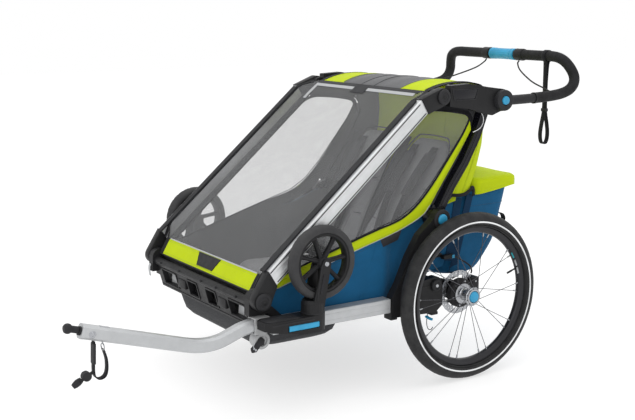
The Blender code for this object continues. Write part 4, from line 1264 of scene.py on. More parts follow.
def make_rear_panels():
    line = resample(
        [
            P(0, y, z)
            for y, z in (
                (0.1145, 0.848), (0.127, 0.8), (0.131, 0.75), (0.1275, 0.69), (0.109, 0.62), (0.085, 0.562)
            )
        ], 33
    )

    def rear(u, v):
        p = line[min(int(round(v * 32)), 32)]
        return Vector((-0.262 + 0.524 * u, p.y + 0.006 * math.sin(math.pi * u) * math.sin(math.pi * v), p.z))

    panel = patch("back_panel_cloth", rear, 40, 32, 0.0022, "lime_cloth")
    puckered(panel, 0.0012, 8.0, 2.0)
    rear_blend(panel)
    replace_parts(panel, "back_panel")
    for x in (-0.255, -0.085, 0.085, 0.255):
        name = f"back_panel_seam_{'abcd'[int((x + 0.255) / 0.17 + 0.5)]}"
        rear_blend(pipe(name, [Vector((x, p.y + 0.0035, p.z)) for p in line[1:-1]], 0.0013, "lime_cloth", sides=6))
    mesh_low = [Vector((-0.24 + 0.48 * k / 24, line[16].y + 0.006, line[16].z)) for k in range(25)]
    rear_blend(stitches("back_panel_stitching", mesh_low, "thread"))

    front_edge = [(0.0, 0.536), (0.028, 0.595), (0.06, 0.655), (0.088, 0.715), (0.104, 0.76), (0.108, 0.795)]
    rear_edge = [(0.079, 0.54), (0.108, 0.612), (0.1265, 0.68), (0.131, 0.73), (0.13, 0.77), (0.125, 0.805)]
    a, b = resample(flat(front_edge, 0.2805), 41), resample(flat(rear_edge, 0.265), 41)

    def gusset(u, v):
        k = min(int(round(u * 40)), 40)
        return a[k].lerp(b[k], v) + X_AXIS * 0.004 * math.sin(math.pi * v)

    pieces = [patch("rear_gusset_left", gusset, 40, 10, 0.002, "lime_cloth")]
    for k, share in enumerate((0.12, 0.52, 0.6)):
        row = [gusset(t / 40, share) + X_AXIS * 0.0016 for t in range(1, 40)]
        pieces.append(stitches(f"rear_gusset_stitching_{k}_left", row, "thread"))
    pieces.append(
        pipe(
            "rear_gusset_seam_left", [gusset(t / 40, 0.56) + X_AXIS * 0.0006 for t in range(1, 40)], 0.0013,
            "lime_cloth", sides=6
        )
    )
    rear_side = [
        (-0.093, 0.518), (-0.064, 0.56), (0.005, 0.655), (0.04, 0.705), (0.061, 0.735), (0.062, 0.77),
        (0.048, 0.785)
    ]
    back_side = [
        (0.026, 0.518), (0.079, 0.562), (0.1085, 0.63), (0.1265, 0.695), (0.13, 0.75), (0.126, 0.8), (0.116, 0.833)
    ]
    c, d = resample(flat(rear_side, 0.291), 31), resample(flat(back_side, 0.259), 31)
    pieces.append(patch("rear_lining_left", ruled(c, d), 30, 8, 0.0012, "lining"))
    for obj in pieces:
        for one in (obj, mirror(obj)):
            rear_blend(one)
    strap = [
        P(0.284, -0.022, 0.544), P(0.285, 0.01, 0.536), P(0.282, 0.045, 0.5345), P(0.276, 0.07, 0.54),
        P(0.2705, 0.092, 0.551), P(0.268, 0.098, 0.538), P(0.266, 0.1, 0.524)
    ]
    both(sweep("rear_edge_strap_left", smooth(strap, 5), slab(0.01, 0.0024), "webbing", up=(1, 0, 0.1)), "base")

    low = [(-0.15, 0.27), (-0.1, 0.295), (-0.05, 0.312), (-0.01, 0.318)]
    high = [(-0.06, 0.47), (-0.03, 0.505), (0.01, 0.529), (0.062, 0.534)]
    sheet = patch("rear_side_cloth_left", between(low, high, 25, 0.259, 0.002), 24, 16, 0.0022, "blue_cloth")
    both(puckered(sheet, 0.0012, 16.0, 6.0), "base")
    bit = patch(
        "rear_side_lime_left", between([(-0.036, 0.5), (0.03, 0.515)], [(-0.034, 0.52), (0.034, 0.532)], 9, 0.264),
        8, 4, 0.002, "lime_cloth"
    )
    both(bit, "base")
    # A dark navy strip down the rear side cloth: painted shade that stands in for the shaded fold of the blue
    # cloth, not a real strap.
    strap = [P(0.2612, 0.044 - 0.032 * t, 0.522 - 0.19 * t) for t in shares(12)]
    both(sweep("rear_side_strap_left", strap, slab(0.03, 0.002), "fold_shade_cloth", up=(1, 0, 0)), "base")


make_rear_panels()

# ------------------------------------------------------------------ front cover and roof

COVER_LINE = [(-0.1075, 0.847), (-0.15, 0.8135), (-0.3, 0.6858), (-0.48, 0.5325), (-0.6, 0.4302), (-0.656, 0.3825)]
BAND_LINE = [(-0.656, 0.3825), (-0.6625, 0.374), (-0.684, 0.3375)]


def hull(points):
    """The convex outline round these points, anticlockwise."""

    def half(ordered):
        kept = []
        for p in ordered:
            while len(kept) > 1 and (
                kept[-1][0] - kept[-2][0]
            ) * (p[1] - kept[-2][1]) <= (kept[-1][1] - kept[-2][1]) * (p[0] - kept[-2][0]):
                kept.pop()
            kept.append(p)
        return kept[:-1]

    ordered = sorted(points)
    return half(ordered) + half(ordered[::-1])


def on_cover(line, count, sink):
    """place(x, v): a point x metres across the trailer and a share v of the way down the line, sunk along
    the panel's normal. The cover bulges in its middle and rises to the tubes at its sides."""
    path = resample([P(0, y, z) for y, z in line], count + 1)

    def place(x, v):
        k = min(int(round(v * count)), count)
        a, b = path[max(k - 1, 0)], path[min(k + 1, count)]
        along = (b - a).normalized()
        out = Vector((0, along.z, -along.y)).normalized()
        rise = 0.0
        if line is COVER_LINE:
            edge = min(max((abs(x) - 0.255) / 0.05, 0.0), 1.0)
            ends = max(0.0, min(1.0, v / 0.08, (1.0 - v) / 0.06))
            rise = 0.004 * math.sin(
                math.pi * min(max(v, 0), 1)
            ) * max(0.0, 1 - (x / 0.285) ** 2) + 0.0215 * edge * edge * (3 - 2 * edge) * ends
        return Vector((x, path[k].y, path[k].z)) + out * (rise - sink)

    return place


def make_cover():
    top, low = on_cover(COVER_LINE, 60, -0.0015), on_cover(BAND_LINE, 14, -0.0015)
    film = patch(
        "front_cover_film", lambda u, v: top(-0.3015 + 0.591 * u, v), 64, 60, 0.0009, "film", "front_cover"
    )
    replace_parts(film, "front_cover")
    patch("front_cover_band", lambda u, v: low(-0.268 + 0.536 * u, v), 48, 14, 0.0024, "lime_cloth", "front_cover")
    for tag, side in SIDES:
        inner = 0.288 if side > 0 else 0.3
        patch(
            f"front_cover_border_{tag}", lambda u, v: top(side * (inner + (0.313 - inner) * u), v), 5, 60, 0.0026,
            "black_cloth", "front_cover"
        )
        patch(
            f"front_cover_foot_{tag}", lambda u, v: low(side * (0.267 + 0.017 * u), v), 3, 14, 0.0028,
            "black_cloth", "front_cover"
        )
        path = [
            top(side * (0.2835 + 0.03 * max(0.0, min(1.0, k / 5, (60 - k) / 4))), k / 60) for k in range(61)
        ] + [low(side * 0.2835, k / 14) for k in range(1, 15)]
        pipe(f"front_cover_piping_{tag}", path, 0.003, "black", "front_cover", 8)
        zip_path = [top(side * 0.306, k / 60) + Vector((0, -0.0008, 0.0016)) for k in range(3, 57)]
        sweep(
            f"front_cover_zip_{tag}", zip_path, slab(0.0052, 0.0022), "black_soft", "front_cover",
            up=(0, -0.6, 0.75)
        )
        row = [top(side * 0.296, k / 60) + Vector((0, -0.0007, 0.0013)) for k in range(3, 57)]
        stitches(f"front_cover_stitching_{tag}", row, "dark_thread", "front_cover")
    line = [low(-0.264 + 0.528 * k / 60, 0.0) + Vector((0, -0.0012, 0.0012)) for k in range(61)]
    sweep("front_cover_reflective_line", line, slab(0.004, 0.0014), "silver_tape", "front_cover", up=(0, -0.7, 0.7))
    for k, v in enumerate((0.14, 0.88)):
        row = [low(-0.262 + 0.524 * t / 80, v) + Vector((0, -0.0016, 0.0008)) for t in range(81)]
        stitches(f"front_cover_band_stitching_{k}", row, "thread", "front_cover")
    hem = [low(-0.284 + 0.568 * t / 60, 1.0) for t in range(61)]
    pipe("front_cover_hem", hem, 0.0026, "black", "front_cover", 8)

    corners = ((-0.066, 0.06), (0.066, 0.06), (0.046, 0.8), (-0.046, 0.8))

    def badge(u, v, lift=0.0018):
        left, right = corners[0][0] + (
            corners[3][0] - corners[0][0]
        ) * v, corners[1][0] + (corners[2][0] - corners[1][0]) * v
        return low(left + (right - left) * u, 0.06 + 0.74 * v) + Vector((0, -0.86, 0.5)) * lift

    patch("front_badge", badge, 10, 8, 0.0022, "black_soft", "front_cover")
    frame_line = [badge(t / 10, 0.04, 0.003) for t in range(11)] + [badge(0.985, t / 8, 0.003) for t in range(1, 9)]
    frame_line += [badge(1 - t / 10, 0.96, 0.003) for t in range(11)] + [
        badge(0.015, 1 - t / 8, 0.003) for t in range(1, 8)
    ]
    pipe("front_badge_rim", frame_line, 0.0007, "black_metal", "front_cover", 6, closed=True)

    proud = Vector((0, -0.0009, 0.001))
    for name, low_x, high_x in (("reflective_strip_left", 0.02, 0.252), ("reflective_strip_right", -0.262, -0.052)):
        patch(
            name, lambda u, v: top(low_x + (high_x - low_x) * u, 0.012 + 0.02 * v) + proud, 24, 3, 0.0014,
            "silver_tape", "front_cover"
        )
    patch(
        "reflective_strip_corner", lambda u, v: top(-0.262 + 0.013 * u, 0.012 + 0.105 * v) + proud, 3, 16, 0.0014,
        "silver_tape", "front_cover"
    )
    patch(
        "cover_top_tab", lambda u, v: top(-0.05 + 0.068 * u, 0.004 + 0.05 * v) + proud, 8, 5, 0.0016, "dark_cloth",
        "front_cover"
    )
    patch(
        "cover_top_hem", lambda u, v: top(-0.262 + 0.524 * u, 0.01 * v) + Vector((0, -0.0007, 0.0009)), 24, 2,
        0.0018, "dark_cloth", "front_cover"
    )


make_cover()

ROOF_LINE = [
    (-0.0955, 0.8465), (-0.083, 0.8515), (-0.047, 0.861), (0.0, 0.867), (0.06, 0.8665), (0.1, 0.86), (0.115, 0.852)
]


def make_roof():
    path = resample(smooth([P(0, y, z) for y, z in ROOF_LINE], 6), 41)

    def roof(x, v, lift=0.0):
        p = path[min(int(round(v * 40)), 40)]
        crown = 0.0055 * (1 - (x / 0.278) ** 2) * math.sin(
            math.pi * min(max(v, 0.0), 1.0)
        ) + 0.0015 * math.cos(math.pi * x / 0.045) * math.sin(math.pi * v)
        return Vector((x, p.y, p.z + crown + lift))

    centre = patch("roof_centre", lambda u, v: roof(-0.15 + 0.3 * u, v), 48, 40, 0.0026, "roof_cloth", "top_frame")
    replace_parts(centre, "roof")
    for tag, side in SIDES:
        patch(
            f"roof_stripe_{tag}", lambda u, v: roof(side * (0.148 + 0.116 * u), v), 16, 40, 0.0028, "lime_cloth",
            "top_frame"
        )
        patch(
            f"roof_edge_{tag}", lambda u, v: roof(side * (0.262 + 0.018 * u), v, 0.0004), 4, 40, 0.0032,
            "black_cloth", "top_frame"
        )
        for k, x in enumerate((0.15, 0.261)):
            pipe(
                f"roof_seam_{k}_{tag}", [roof(side * x, t / 40, 0.0016) for t in range(1, 40)], 0.0014,
                ("roof_cloth", "black_cloth")[k], "top_frame", 6
            )
            stitches(
                f"roof_stitching_{k}_{tag}",
                [roof(side * (x + (0.006, -0.006)[k]), t / 40, 0.0022) for t in range(1, 40)], "thread", "top_frame"
            )
    for k, x in enumerate((-0.05, 0.018)):
        pipe(
            f"roof_middle_seam_{k}", [roof(x, t / 40, 0.0014) for t in range(0, 41)], 0.0012, "dark_cloth",
            "top_frame", 6
        )
    for name, v in (("front", 0.0), ("rear", 1.0)):
        pipe(
            f"roof_{name}_hem", [roof(-0.278 + 0.556 * t / 60, v) for t in range(61)], 0.0026, "black_cloth",
            "top_frame", 8
        )


make_roof()

# ------------------------------------------------------------------ folding frame

# Axle-frame (y, z) of the pivots.
FRONT_PIVOT, TOP_PIVOT, REAR_PIVOT = (-0.685, 0.326), (-0.087, 0.836), (-0.084, 0.483)
PUSH_PIVOT = (0.137, 0.817)
CROSS_BAR = (0.452, 0.932)


def pivot_disc(name, centre, x, radius, body_name, cap="black"):
    """A moulded pivot cap: a dished disc with a ring, a groove and a raised middle."""
    r = radius
    profile = [
        (0.0, 0.0052), (r * 0.3, 0.005), (r * 0.4, 0.0036), (r * 0.56, 0.0034), (r * 0.62, 0.005), (r * 0.8, 0.0052)
    ]
    profile += [(r * 0.93, 0.0042), (r, 0.002), (r, 0.0), (0.0, 0.0)]
    both(lathe(name + "_left", profile, centre, "black_soft", steps=56, middle_x=x), body_name)
    if cap:
        middle = [(0.0, 0.0072), (r * 0.24, 0.007), (r * 0.29, 0.006), (r * 0.29, 0.004), (0.0, 0.004)]
        both(lathe(name + "_middle_left", middle, centre, cap, steps=40, middle_x=x), body_name)


def make_frame():
    start, end = Vector(FRONT_PIVOT), Vector(TOP_PIVOT)
    along = (end - start).normalized()
    out = Vector((-along.y, along.x))

    def on_tube(s, h):
        p = start + along * s + out * h
        return (p.x, p.y)

    length = (end - start).length
    bar = [
        on_tube(0.05, 0.0008), on_tube(length - 0.062, 0.0008), on_tube(length - 0.056, 0.0462),
        on_tube(0.056, 0.0462)
    ]
    left, right = both(plate("frame_bar_left", bar, 0.3156, 0.3394, "alu", bevel=0.003, segments=3), "front_frame")
    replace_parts(left, "frame_tube_left")
    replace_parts(right, "frame_tube_right")
    for tag, h in (("low", 0.0065), ("high", 0.0405)):
        rib = [P(0.3398, *on_tube(s, h)) for s in (0.066, length * 0.5, length - 0.074)]
        both(sweep(f"tube_groove_{tag}_left", rib, slab(0.0028, 0.0012), "black", up=(1, 0, 0)), "front_frame")
    for k, h in enumerate((0.0155, 0.0315)):
        rib = [P(0.3396, *on_tube(s, h)) for s in (0.066, length * 0.5, length - 0.074)]
        both(sweep(f"tube_rib_{k}_left", rib, slab(0.004, 0.0016), "alu", up=(1, 0, 0)), "front_frame")
    edge = [P(0.3145, *on_tube(s, 0.049)) for s in (0.06, length * 0.5, length - 0.07)]
    both(sweep("tube_edge_trim_left", edge, slab(0.022, 0.006), "black_soft", up=(0, out.x, out.y)), "front_frame")
    for tag, pivot, radius, low_reach, high_reach, way in (
        ("front", start, 0.026, 0.058, 0.066, 1), ("top", end, 0.024, 0.07, 0.062, -1)
    ):
        reach = (low_reach, high_reach) if way > 0 else (length - low_reach, length - high_reach)
        shape = arc(tuple(pivot), radius + 0.0012, 0, 345, 23) + [
            on_tube(reach[0], -0.0012), on_tube(reach[1], 0.0486)
        ]
        both(plate(f"tube_socket_{tag}_left", hull(shape), 0.3146, 0.3412, "black", bevel=0.002), "front_frame")
        pivot_disc(f"{tag}_pivot_disc", tuple(pivot), 0.344, radius - 0.002, "front_frame")


make_frame()


def make_plates():
    paint_pair("side_plate", "black")
    ridge = [(-0.052, 0.8635), (0.01, 0.8668), (0.078, 0.855), (0.1, 0.848)]
    both(
        sweep("plate_ridge_left", smooth(flat(ridge, 0.3402), 6), slab(0.0036, 0.0022), "black", up=(1, 0, 0)),
        "top_frame"
    )
    outer = [(-0.056, 0.856), (0.046, 0.856), (0.034, 0.823), (-0.047, 0.823)]
    inner = [(-0.052, 0.8532), (0.0418, 0.8532), (0.0318, 0.8258), (-0.044, 0.8258)]
    both(
        plate("plate_badge_frame_left", outer, 0.3398, 0.3413, "black_soft", bevel=0.0006, holes=(inner,)),
        "top_frame"
    )
    both(
        plate("plate_badge_left", [(y * 0.995, z) for y, z in inner], 0.3394, 0.3402, "black_gloss", bevel=0.0003),
        "top_frame"
    )
    ring = [
        (0.014, 0.3532), (0.0148, 0.356), (0.027, 0.3566), (0.0302, 0.3548), (0.0312, 0.351), (0.0312, 0.3402),
        (0.014, 0.3402)
    ]
    both(lathe("push_pivot_ring_left", ring, PUSH_PIVOT, "black_soft", steps=64, closed=True), "top_frame")
    cap = [(0.0, 0.3604), (0.01, 0.3602), (0.0118, 0.3592), (0.0127, 0.3575), (0.0127, 0.3452), (0.0, 0.3452)]
    press_caps("push_bar_cap", "push_bar_button", cap, PUSH_PIVOT, 40)
    silver = [
        (0.03, 0.8), (0.055, 0.7945), (0.075, 0.784), (0.087, 0.77), (0.089, 0.753), (0.082, 0.74), (0.071, 0.732),
        (0.05, 0.725)
    ]
    piping = pipe("reflective_piping_left", smooth(flat(silver, 0.3135), 6), 0.0013, "line", sides=6)
    for one in (piping, mirror(piping)):
        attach(one, "uprights")


make_plates()


def make_uprights():
    paint_pair("upright", "black_gloss")
    line = [(-0.06, 0.515), (-0.023, 0.572), (0.025, 0.636), (0.069, 0.712), (0.094, 0.772)]
    both(
        sweep(
            "upright_ridge_left", smooth(flat(line, 0.3122), 5), slab(0.0085, 0.0026), "black_gloss", up=(1, 0, 0)
        ), "uprights"
    )
    for k, offset in enumerate((-0.0085, 0.0085)):
        rail = [(y + offset * 0.82, z - offset * 0.55) for y, z in line]
        both(
            sweep(
                f"upright_edge_{k}_left", smooth(flat(rail, 0.3121), 5), slab(0.0022, 0.0016), "black", up=(1, 0, 0)
            ), "uprights"
        )


make_uprights()


def make_fold_pivots():
    paint_pair("rear_post", "black")
    ring = [(0.0172, 0.344), (0.018, 0.3462), (0.0268, 0.346), (0.0285, 0.344), (0.029, 0.3402), (0.0172, 0.3402)]
    both(lathe("fold_pivot_ring_left", ring, REAR_PIVOT, "black_soft", steps=64, closed=True), "base")
    cap = [(0.0, 0.3494), (0.012, 0.3492), (0.0148, 0.348), (0.0158, 0.3462), (0.0158, 0.3342), (0.0, 0.3342)]
    press_caps("fold_cap", "fold_button", cap, REAR_PIVOT, 40)
    for k, (y0, z0, y1, z1) in enumerate(((-0.222, 0.33, -0.176, 0.4), (-0.236, 0.292, -0.11, 0.288))):
        both(
            sweep(
                f"post_rib_{k}_left", [P(0.3402, y0, z0), P(0.3402, y1, z1)], slab(0.005, 0.0026), "black",
                up=(1, 0, 0)
            ), "base"
        )
    pivot_disc("suspension_disc", (-0.103, 0.289), 0.3442, 0.0175, "base", cap="steel")


make_fold_pivots()

# ------------------------------------------------------------------ rails, bumper and brackets


def make_base_frame():
    paint_pair("side_rail", "alu_dull")
    for k, z in enumerate((0.2405, 0.2585)):
        groove = [P(0.3402, -0.645, z), P(0.3402, -0.45, z), P(0.3402, -0.268, z)]
        both(sweep(f"rail_rib_{k}_left", groove, slab(0.003, 0.0012), "alu_dull", up=(1, 0, 0)), "base")
    both(
        rounded_box("rail_end_left", (0.303, -0.2618, 0.206), (0.3385, -0.238, 0.256), "black", None, 0.003), "base"
    )
    paint("rear_beam", "black_metal")
    for tag, side in SIDES:
        for x in (0.1, 0.22):
            ring = [
                (0.0182, x * side - 0.006), (0.0205, x * side - 0.005), (0.0205, x * side + 0.005),
                (0.0182, x * side + 0.006)
            ]
            lathe(f"beam_clamp_{tag}_{int(x * 100)}", ring, (-0.103, 0.289), "black", "base", 32, closed=True)


make_base_frame()


def make_bumper():
    paint("front_bumper", "black")
    top, low = Vector((-0.693, 0.322)), Vector((-0.67, 0.237))
    face = Vector((low.y - top.y, top.x - low.x)).normalized()

    def on_panel(x, t, lift):
        p = top.lerp(low, t) + face * (0.007 + lift)
        return P(x, p.x, p.y)

    line = resample([P(0, -0.6775, 0.3345), P(0, -0.659, 0.306), P(0, -0.657, 0.24)], 11)
    patch(
        "bumper_backing", lambda u, v: line[int(round(v * 10))] + X_AXIS * (0.572 * u - 0.286), 20, 10, 0.0016,
        "black_cloth", "base"
    )
    windows = ((0.165, 0.255), (0.03, 0.085), (-0.085, -0.03), (-0.255, -0.165))
    for k, (a, b) in enumerate(windows):
        rim = [
            on_panel(a - 0.003, 0.27, 0.0008), on_panel(b + 0.003, 0.27, 0.0008), on_panel(b + 0.003, 0.83, 0.0008),
            on_panel(a - 0.003, 0.83, 0.0008)
        ]
        path = [rim[i].lerp(rim[(i + 1) % 4], t) for i in range(4) for t in (0.04, 0.5, 0.96)]
        sweep(
            f"bumper_window_rim_{k}", path, slab(0.0052, 0.0034), "black", "base", up=Vector((0, face.x, face.y)),
            closed=True
        )
    for k, (a, b) in enumerate(((0.168, 0.252), (-0.252, -0.168))):
        cloth = patch(
            f"bumper_window_cloth_{k}",
            lambda u, v: P(a + (b - a) * u, -0.6625 + 0.0015 * math.sin(3 * u + 2 * v), 0.25 + 0.05 * v), 14, 10,
            0.0014, "white_cloth", "base"
        )
        puckered(cloth, 0.0012, 40.0, k * 3.0)
    for k, t in enumerate((0.155, 0.94)):
        line = [on_panel(-0.285 + 0.57 * i / 20, t, 0.0004) for i in range(21)]
        sweep(f"bumper_rib_{k}", line, slab(0.006, 0.003), "black", "base", up=Vector((0, face.x, face.y)))
    for k, x in enumerate((-0.245, -0.12, 0.02, 0.11, 0.225)):
        rounded_box(
            f"bumper_peg_{k}", (x - 0.007, -0.7085, 0.3145), (x + 0.007, -0.701, 0.3225), "black_soft", "base",
            0.0018
        )
    for k, x in enumerate((-0.125, 0.125)):
        rounded_box(
            f"bumper_boss_{k}", (x - 0.024, -0.6935, 0.262), (x + 0.024, -0.6835, 0.29), "black", "base", 0.003
        )
    tab = [P(-0.3, -0.713, 0.306), P(-0.301, -0.7165, 0.296), P(-0.301, -0.716, 0.28), P(-0.3, -0.714, 0.268)]
    sweep("pull_tab", smooth(tab, 4), slab(0.011, 0.0018), "silver_tape", "base", up=(0, 1, 0))
    wire = [P(0.215, -0.664, 0.3), P(0.212, -0.665, 0.282), P(0.205, -0.664, 0.262), P(0.198, -0.663, 0.246)]
    pipe("bumper_wire", smooth(wire, 5), 0.0012, "grey", "base", 6)


make_bumper()


def make_brackets():
    paint_pair("wheel_bracket", "black")
    tops = (
        (
            "left", 1,
            [(0.344, -0.688), (0.354, -0.704), (0.384, -0.7), (0.3935, -0.687), (0.3935, -0.6), (0.344, -0.6)],
            -0.69
        ),
        ("right", -1, [(-0.344, -0.6), (-0.3935, -0.6), (-0.3935, -0.645), (-0.344, -0.645)], -0.644),
    )
    for side, sign, outline, front in tops:
        points = [P(x, y, 0.2822) for x, y in outline]
        count = len(points)
        middle = sum(points, Vector()) / count
        inner = [p.lerp(middle, 0.1) + Vector((0, 0, 0.0022)) for p in points]
        faces = [(i, (i + 1) % count, (i + 1) % count + count, i + count) for i in range(count)]
        faces += [tuple(range(count, 2 * count)), tuple(range(count))[::-1]]
        add_mesh(f"bracket_top_{side}", points + inner, faces, "black_soft", "base")
        line = [P(sign * 0.399, y, 0.2735) for y in (front, -0.63, -0.56)]
        sweep(f"bracket_edge_{side}", line, slab(0.004, 0.0016), "black_soft", "base", up=(1, 0, 0))
    lever = [P(0.3966, -0.639, 0.258), P(0.397, -0.61, 0.258), P(0.3972, -0.58, 0.258), P(0.3964, -0.546, 0.258)]
    for side, sign in SIDES:
        path = [Vector((p.x * sign, p.y, p.z)) for p in resample(lever, 17)]
        piece = sweep(
            f"bracket_grip_{side}", path, lambda t: slab(0.0148, 0.0056, 0.0018), "blue", f"bracket_lever_{side}",
            up=(sign, 0, 0)
        )
        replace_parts(piece, f"bracket_lever_{side}")


make_brackets()

# ------------------------------------------------------------------ rear wheels


def make_rear_wheel():
    """The left wheel's pieces as (object, CAD node that it stands in for); the caller mirrors each one."""
    made = {}
    section = [(0.2283 + 0.0216 * math.cos(t), 0.0233 * math.sin(t)) for t in turns(28)]

    def tread(r, x, turn):
        if r < 0.2385:
            return r
        along = turn * 0.25 / 0.03 + abs(x) * 55.0
        slot = 1.0 if (along % 1.0) < 0.13 and 0.004 < abs(x) < 0.019 else 0.0
        middle = 1.0 if abs(abs(x) - 0.0028) < 0.0012 else 0.0
        return r - 0.0013 * slot - 0.0007 * middle

    made["rear_tyre_skin"] = (
        lathe(
            "rear_tyre_skin_left", section, AXLE, "rubber", steps=300, closed=True, middle_x=WHEEL_X, angle=50,
            shape=tread
        ), "rear_tyre"
    )
    line = [(0.2254, 0.0218), (0.2254, 0.02325), (0.2228, 0.02362), (0.2212, 0.02335), (0.2212, 0.0215)]
    made["tyre_line"] = (
        lathe("tyre_line_left", line, AXLE, "line", steps=160, closed=True, middle_x=WHEEL_X), None
    )
    bead = [(0.212, 0.0165), (0.212, 0.0192), (0.2098, 0.02), (0.209, 0.018)]
    made["tyre_bead"] = (
        lathe("tyre_bead_left", bead, AXLE, "rubber", steps=120, closed=True, middle_x=WHEEL_X), None
    )
    rim = [
        (0.2085, 0.0122), (0.2085, 0.01), (0.204, 0.0088), (0.204, -0.0088), (0.2085, -0.01), (0.2085, -0.0122),
        (0.207, -0.0132), (0.199, -0.013)
    ]
    rim += [
        (0.1945, -0.0108), (0.1905, -0.0062), (0.189, 0.0), (0.1905, 0.0062), (0.1945, 0.0108), (0.199, 0.013),
        (0.207, 0.0132)
    ]
    made["rear_rim_shell"] = (
        lathe("rear_rim_shell_left", rim, AXLE, "black_metal", steps=144, closed=True, middle_x=WHEEL_X, angle=30),
        "rear_rim"
    )
    parts, nipples = [], []
    for i in range(20):
        outer = i % 2 == 0
        rim_turn = math.radians((i // 2) * 36 + (4 if outer else -4))
        hub_turn = rim_turn + math.radians(-38 if outer else 38)
        hub_radius, hub_x, rim_x = (0.0225, 0.3875, 0.3755) if outer else (0.0265, 0.3455, 0.3705)
        a = P(hub_x, *on_circle(AXLE, hub_radius, hub_turn))
        b = P(rim_x, *on_circle(AXLE, 0.1905, rim_turn))
        along = (b - a).normalized()
        parts.append(pipe(f"spoke_{i}", [a, b], 0.00095, "spoke", sides=8))
        nipples.append(
            sweep(
                f"nipple_{i}", [b - along * 0.012, b - along * 0.0105, b + along * 0.001],
                lambda t: circle(0.0016 + 0.0008 * (t > 0.3), 8), "steel"
            )
        )
        nipples.append(sweep(f"head_{i}", [a - along * 0.003, a + along * 0.0015], circle(0.0019, 8), "steel"))
    made["spokes"] = (joined("spokes_left", parts), None)
    made["nipples"] = (joined("nipples_left", nipples), None)

    shell = [
        (0.0, 0.344), (0.03, 0.344), (0.0308, 0.3452), (0.0308, 0.3474), (0.0296, 0.3486), (0.019, 0.351),
        (0.015, 0.356), (0.0142, 0.366)
    ]
    shell += [
        (0.0146, 0.376), (0.0172, 0.3836), (0.024, 0.3858), (0.0268, 0.3864), (0.0276, 0.3874), (0.0276, 0.3898),
        (0.0266, 0.391), (0.0236, 0.3918)
    ]
    shell += [(0.0226, 0.3945), (0.0186, 0.3948), (0.0184, 0.3832), (0.0, 0.3832)]
    made["hub_shell"] = (lathe("hub_shell_left", shell, AXLE, "steel", steps=64, angle=35), "rear_hub")
    drum = [
        (0.01, 0.3192), (0.0418, 0.3192), (0.043, 0.3204), (0.043, 0.3384), (0.0418, 0.34), (0.034, 0.3424),
        (0.0322, 0.3436), (0.01, 0.3436)
    ]
    made["hub_drum"] = (lathe("hub_drum_left", drum, AXLE, "black", steps=64, closed=True, angle=35), None)
    ribs = [
        lathe(
            f"rib_{k}", [(0.0428, x), (0.0438, x + 0.0006), (0.0438, x + 0.0022), (0.0428, x + 0.0028)], AXLE,
            "black", steps=48, closed=True
        ) for k, x in enumerate((0.3226, 0.3276, 0.3326))
    ]
    made["drum_ribs"] = (joined("drum_ribs_left", ribs), None)
    holes, rivets = [], []
    for k, t in enumerate(turns(10, 0.5)):
        y, z = on_circle(AXLE, 0.0236, t)
        holes.append(sweep(f"hole_{k}", [P(0.3914, y, z), P(0.3922, y, z)], circle(0.0021, 12), "black"))
    made["flange_holes"] = (joined("flange_holes_left", holes), None)
    for k, t in enumerate(turns(6, 0.25)):
        y, z = on_circle(AXLE, 0.0365, t)
        rivets.append(sweep(f"bolt_{k}", [P(0.3398, y, z), P(0.3424, y, z)], circle(0.0026, 10), "steel"))
    made["drum_bolts"] = (joined("drum_bolts_left", rivets), None)
    made["brake_disc"] = (plate_ring("brake_disc_left"), "brake_rotor")
    return made


def plate_ring(name):
    """The drilled brake disc: a wavy-edged ring with two rows of holes and six arms."""
    outer = [on_circle(AXLE, 0.066 + 0.0005 * math.cos(24 * t), t) for t in turns(144)]
    inner = [on_circle(AXLE, 0.047 if (k // 8) % 2 else 0.0515, t) for k, t in enumerate(turns(96))]
    holes = [inner]
    for offset, radius, size in ((0.0, 0.0622, 0.0019), (0.5, 0.056, 0.0022)):
        for t in turns(24, offset):
            holes.append([on_circle(on_circle(AXLE, radius, t), size, m) for m in turns(8)])
    ring = plate(name, outer, 0.3196, 0.3214, "steel", bevel=0.0, holes=tuple(holes))
    arms = []
    for k, t in enumerate(turns(6)):
        a = P(0.3205, *on_circle(AXLE, 0.0425, t))
        b = P(0.3205, *on_circle(AXLE, 0.053, t + 0.16))
        arms.append(sweep(f"arm_{k}", [a, b], slab(0.007, 0.0016), "steel", up=(1, 0, 0)))
    return joined(name, [ring] + arms)


def make_wheels():
    for name, (obj, node) in make_rear_wheel().items():
        obj.name = name + "_left"
        left, right = both(obj, *REAR_WHEELS)
        if node:
            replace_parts(left, node + "_left")
            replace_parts(right, node + "_right")
    cap = [
        (0.0, 0.3999), (0.008, 0.3997), (0.0135, 0.3985), (0.0162, 0.3962), (0.0168, 0.3935), (0.0168, 0.3878),
        (0.0, 0.3878)
    ]

    def faceted(r, x, turn):
        return r * (1.0 + 0.008 * math.cos(8 * turn)) if r > 0.012 else r

    press_caps("axle_cap", "axle_button", cap, AXLE, 48, faceted)
    valve_turn = math.radians(18)
    a, b = (P(WHEEL_X, *on_circle(AXLE, radius, valve_turn)) for radius in (0.188, 0.156))
    stem = sweep(
        "valve_left", resample([a, b], 7), lambda t: circle(0.0026 if t < 0.45 else 0.0032, 12), "black_soft"
    )
    both(stem, *REAR_WHEELS)
    labels = []
    for k, turn in enumerate((16.5, 24.5, 33.0)):
        t0, t1 = math.radians(turn - 3.0), math.radians(turn + 3.0)
        path = [P(WHEEL_X + 0.0085, *on_circle(AXLE, 0.1912, t0 + (t1 - t0) * m / 8)) for m in range(9)]
        colour = ("silver_tape", "silver_tape", "teal")[k]
        labels.append(sweep(f"rim_label_{k}_left", path, slab(0.0075, 0.002), colour, up=(0.6, 0, 0.4)))
    for label in labels:
        both(label, *REAR_WHEELS)


make_wheels()

# ------------------------------------------------------------------ suspension and brakes


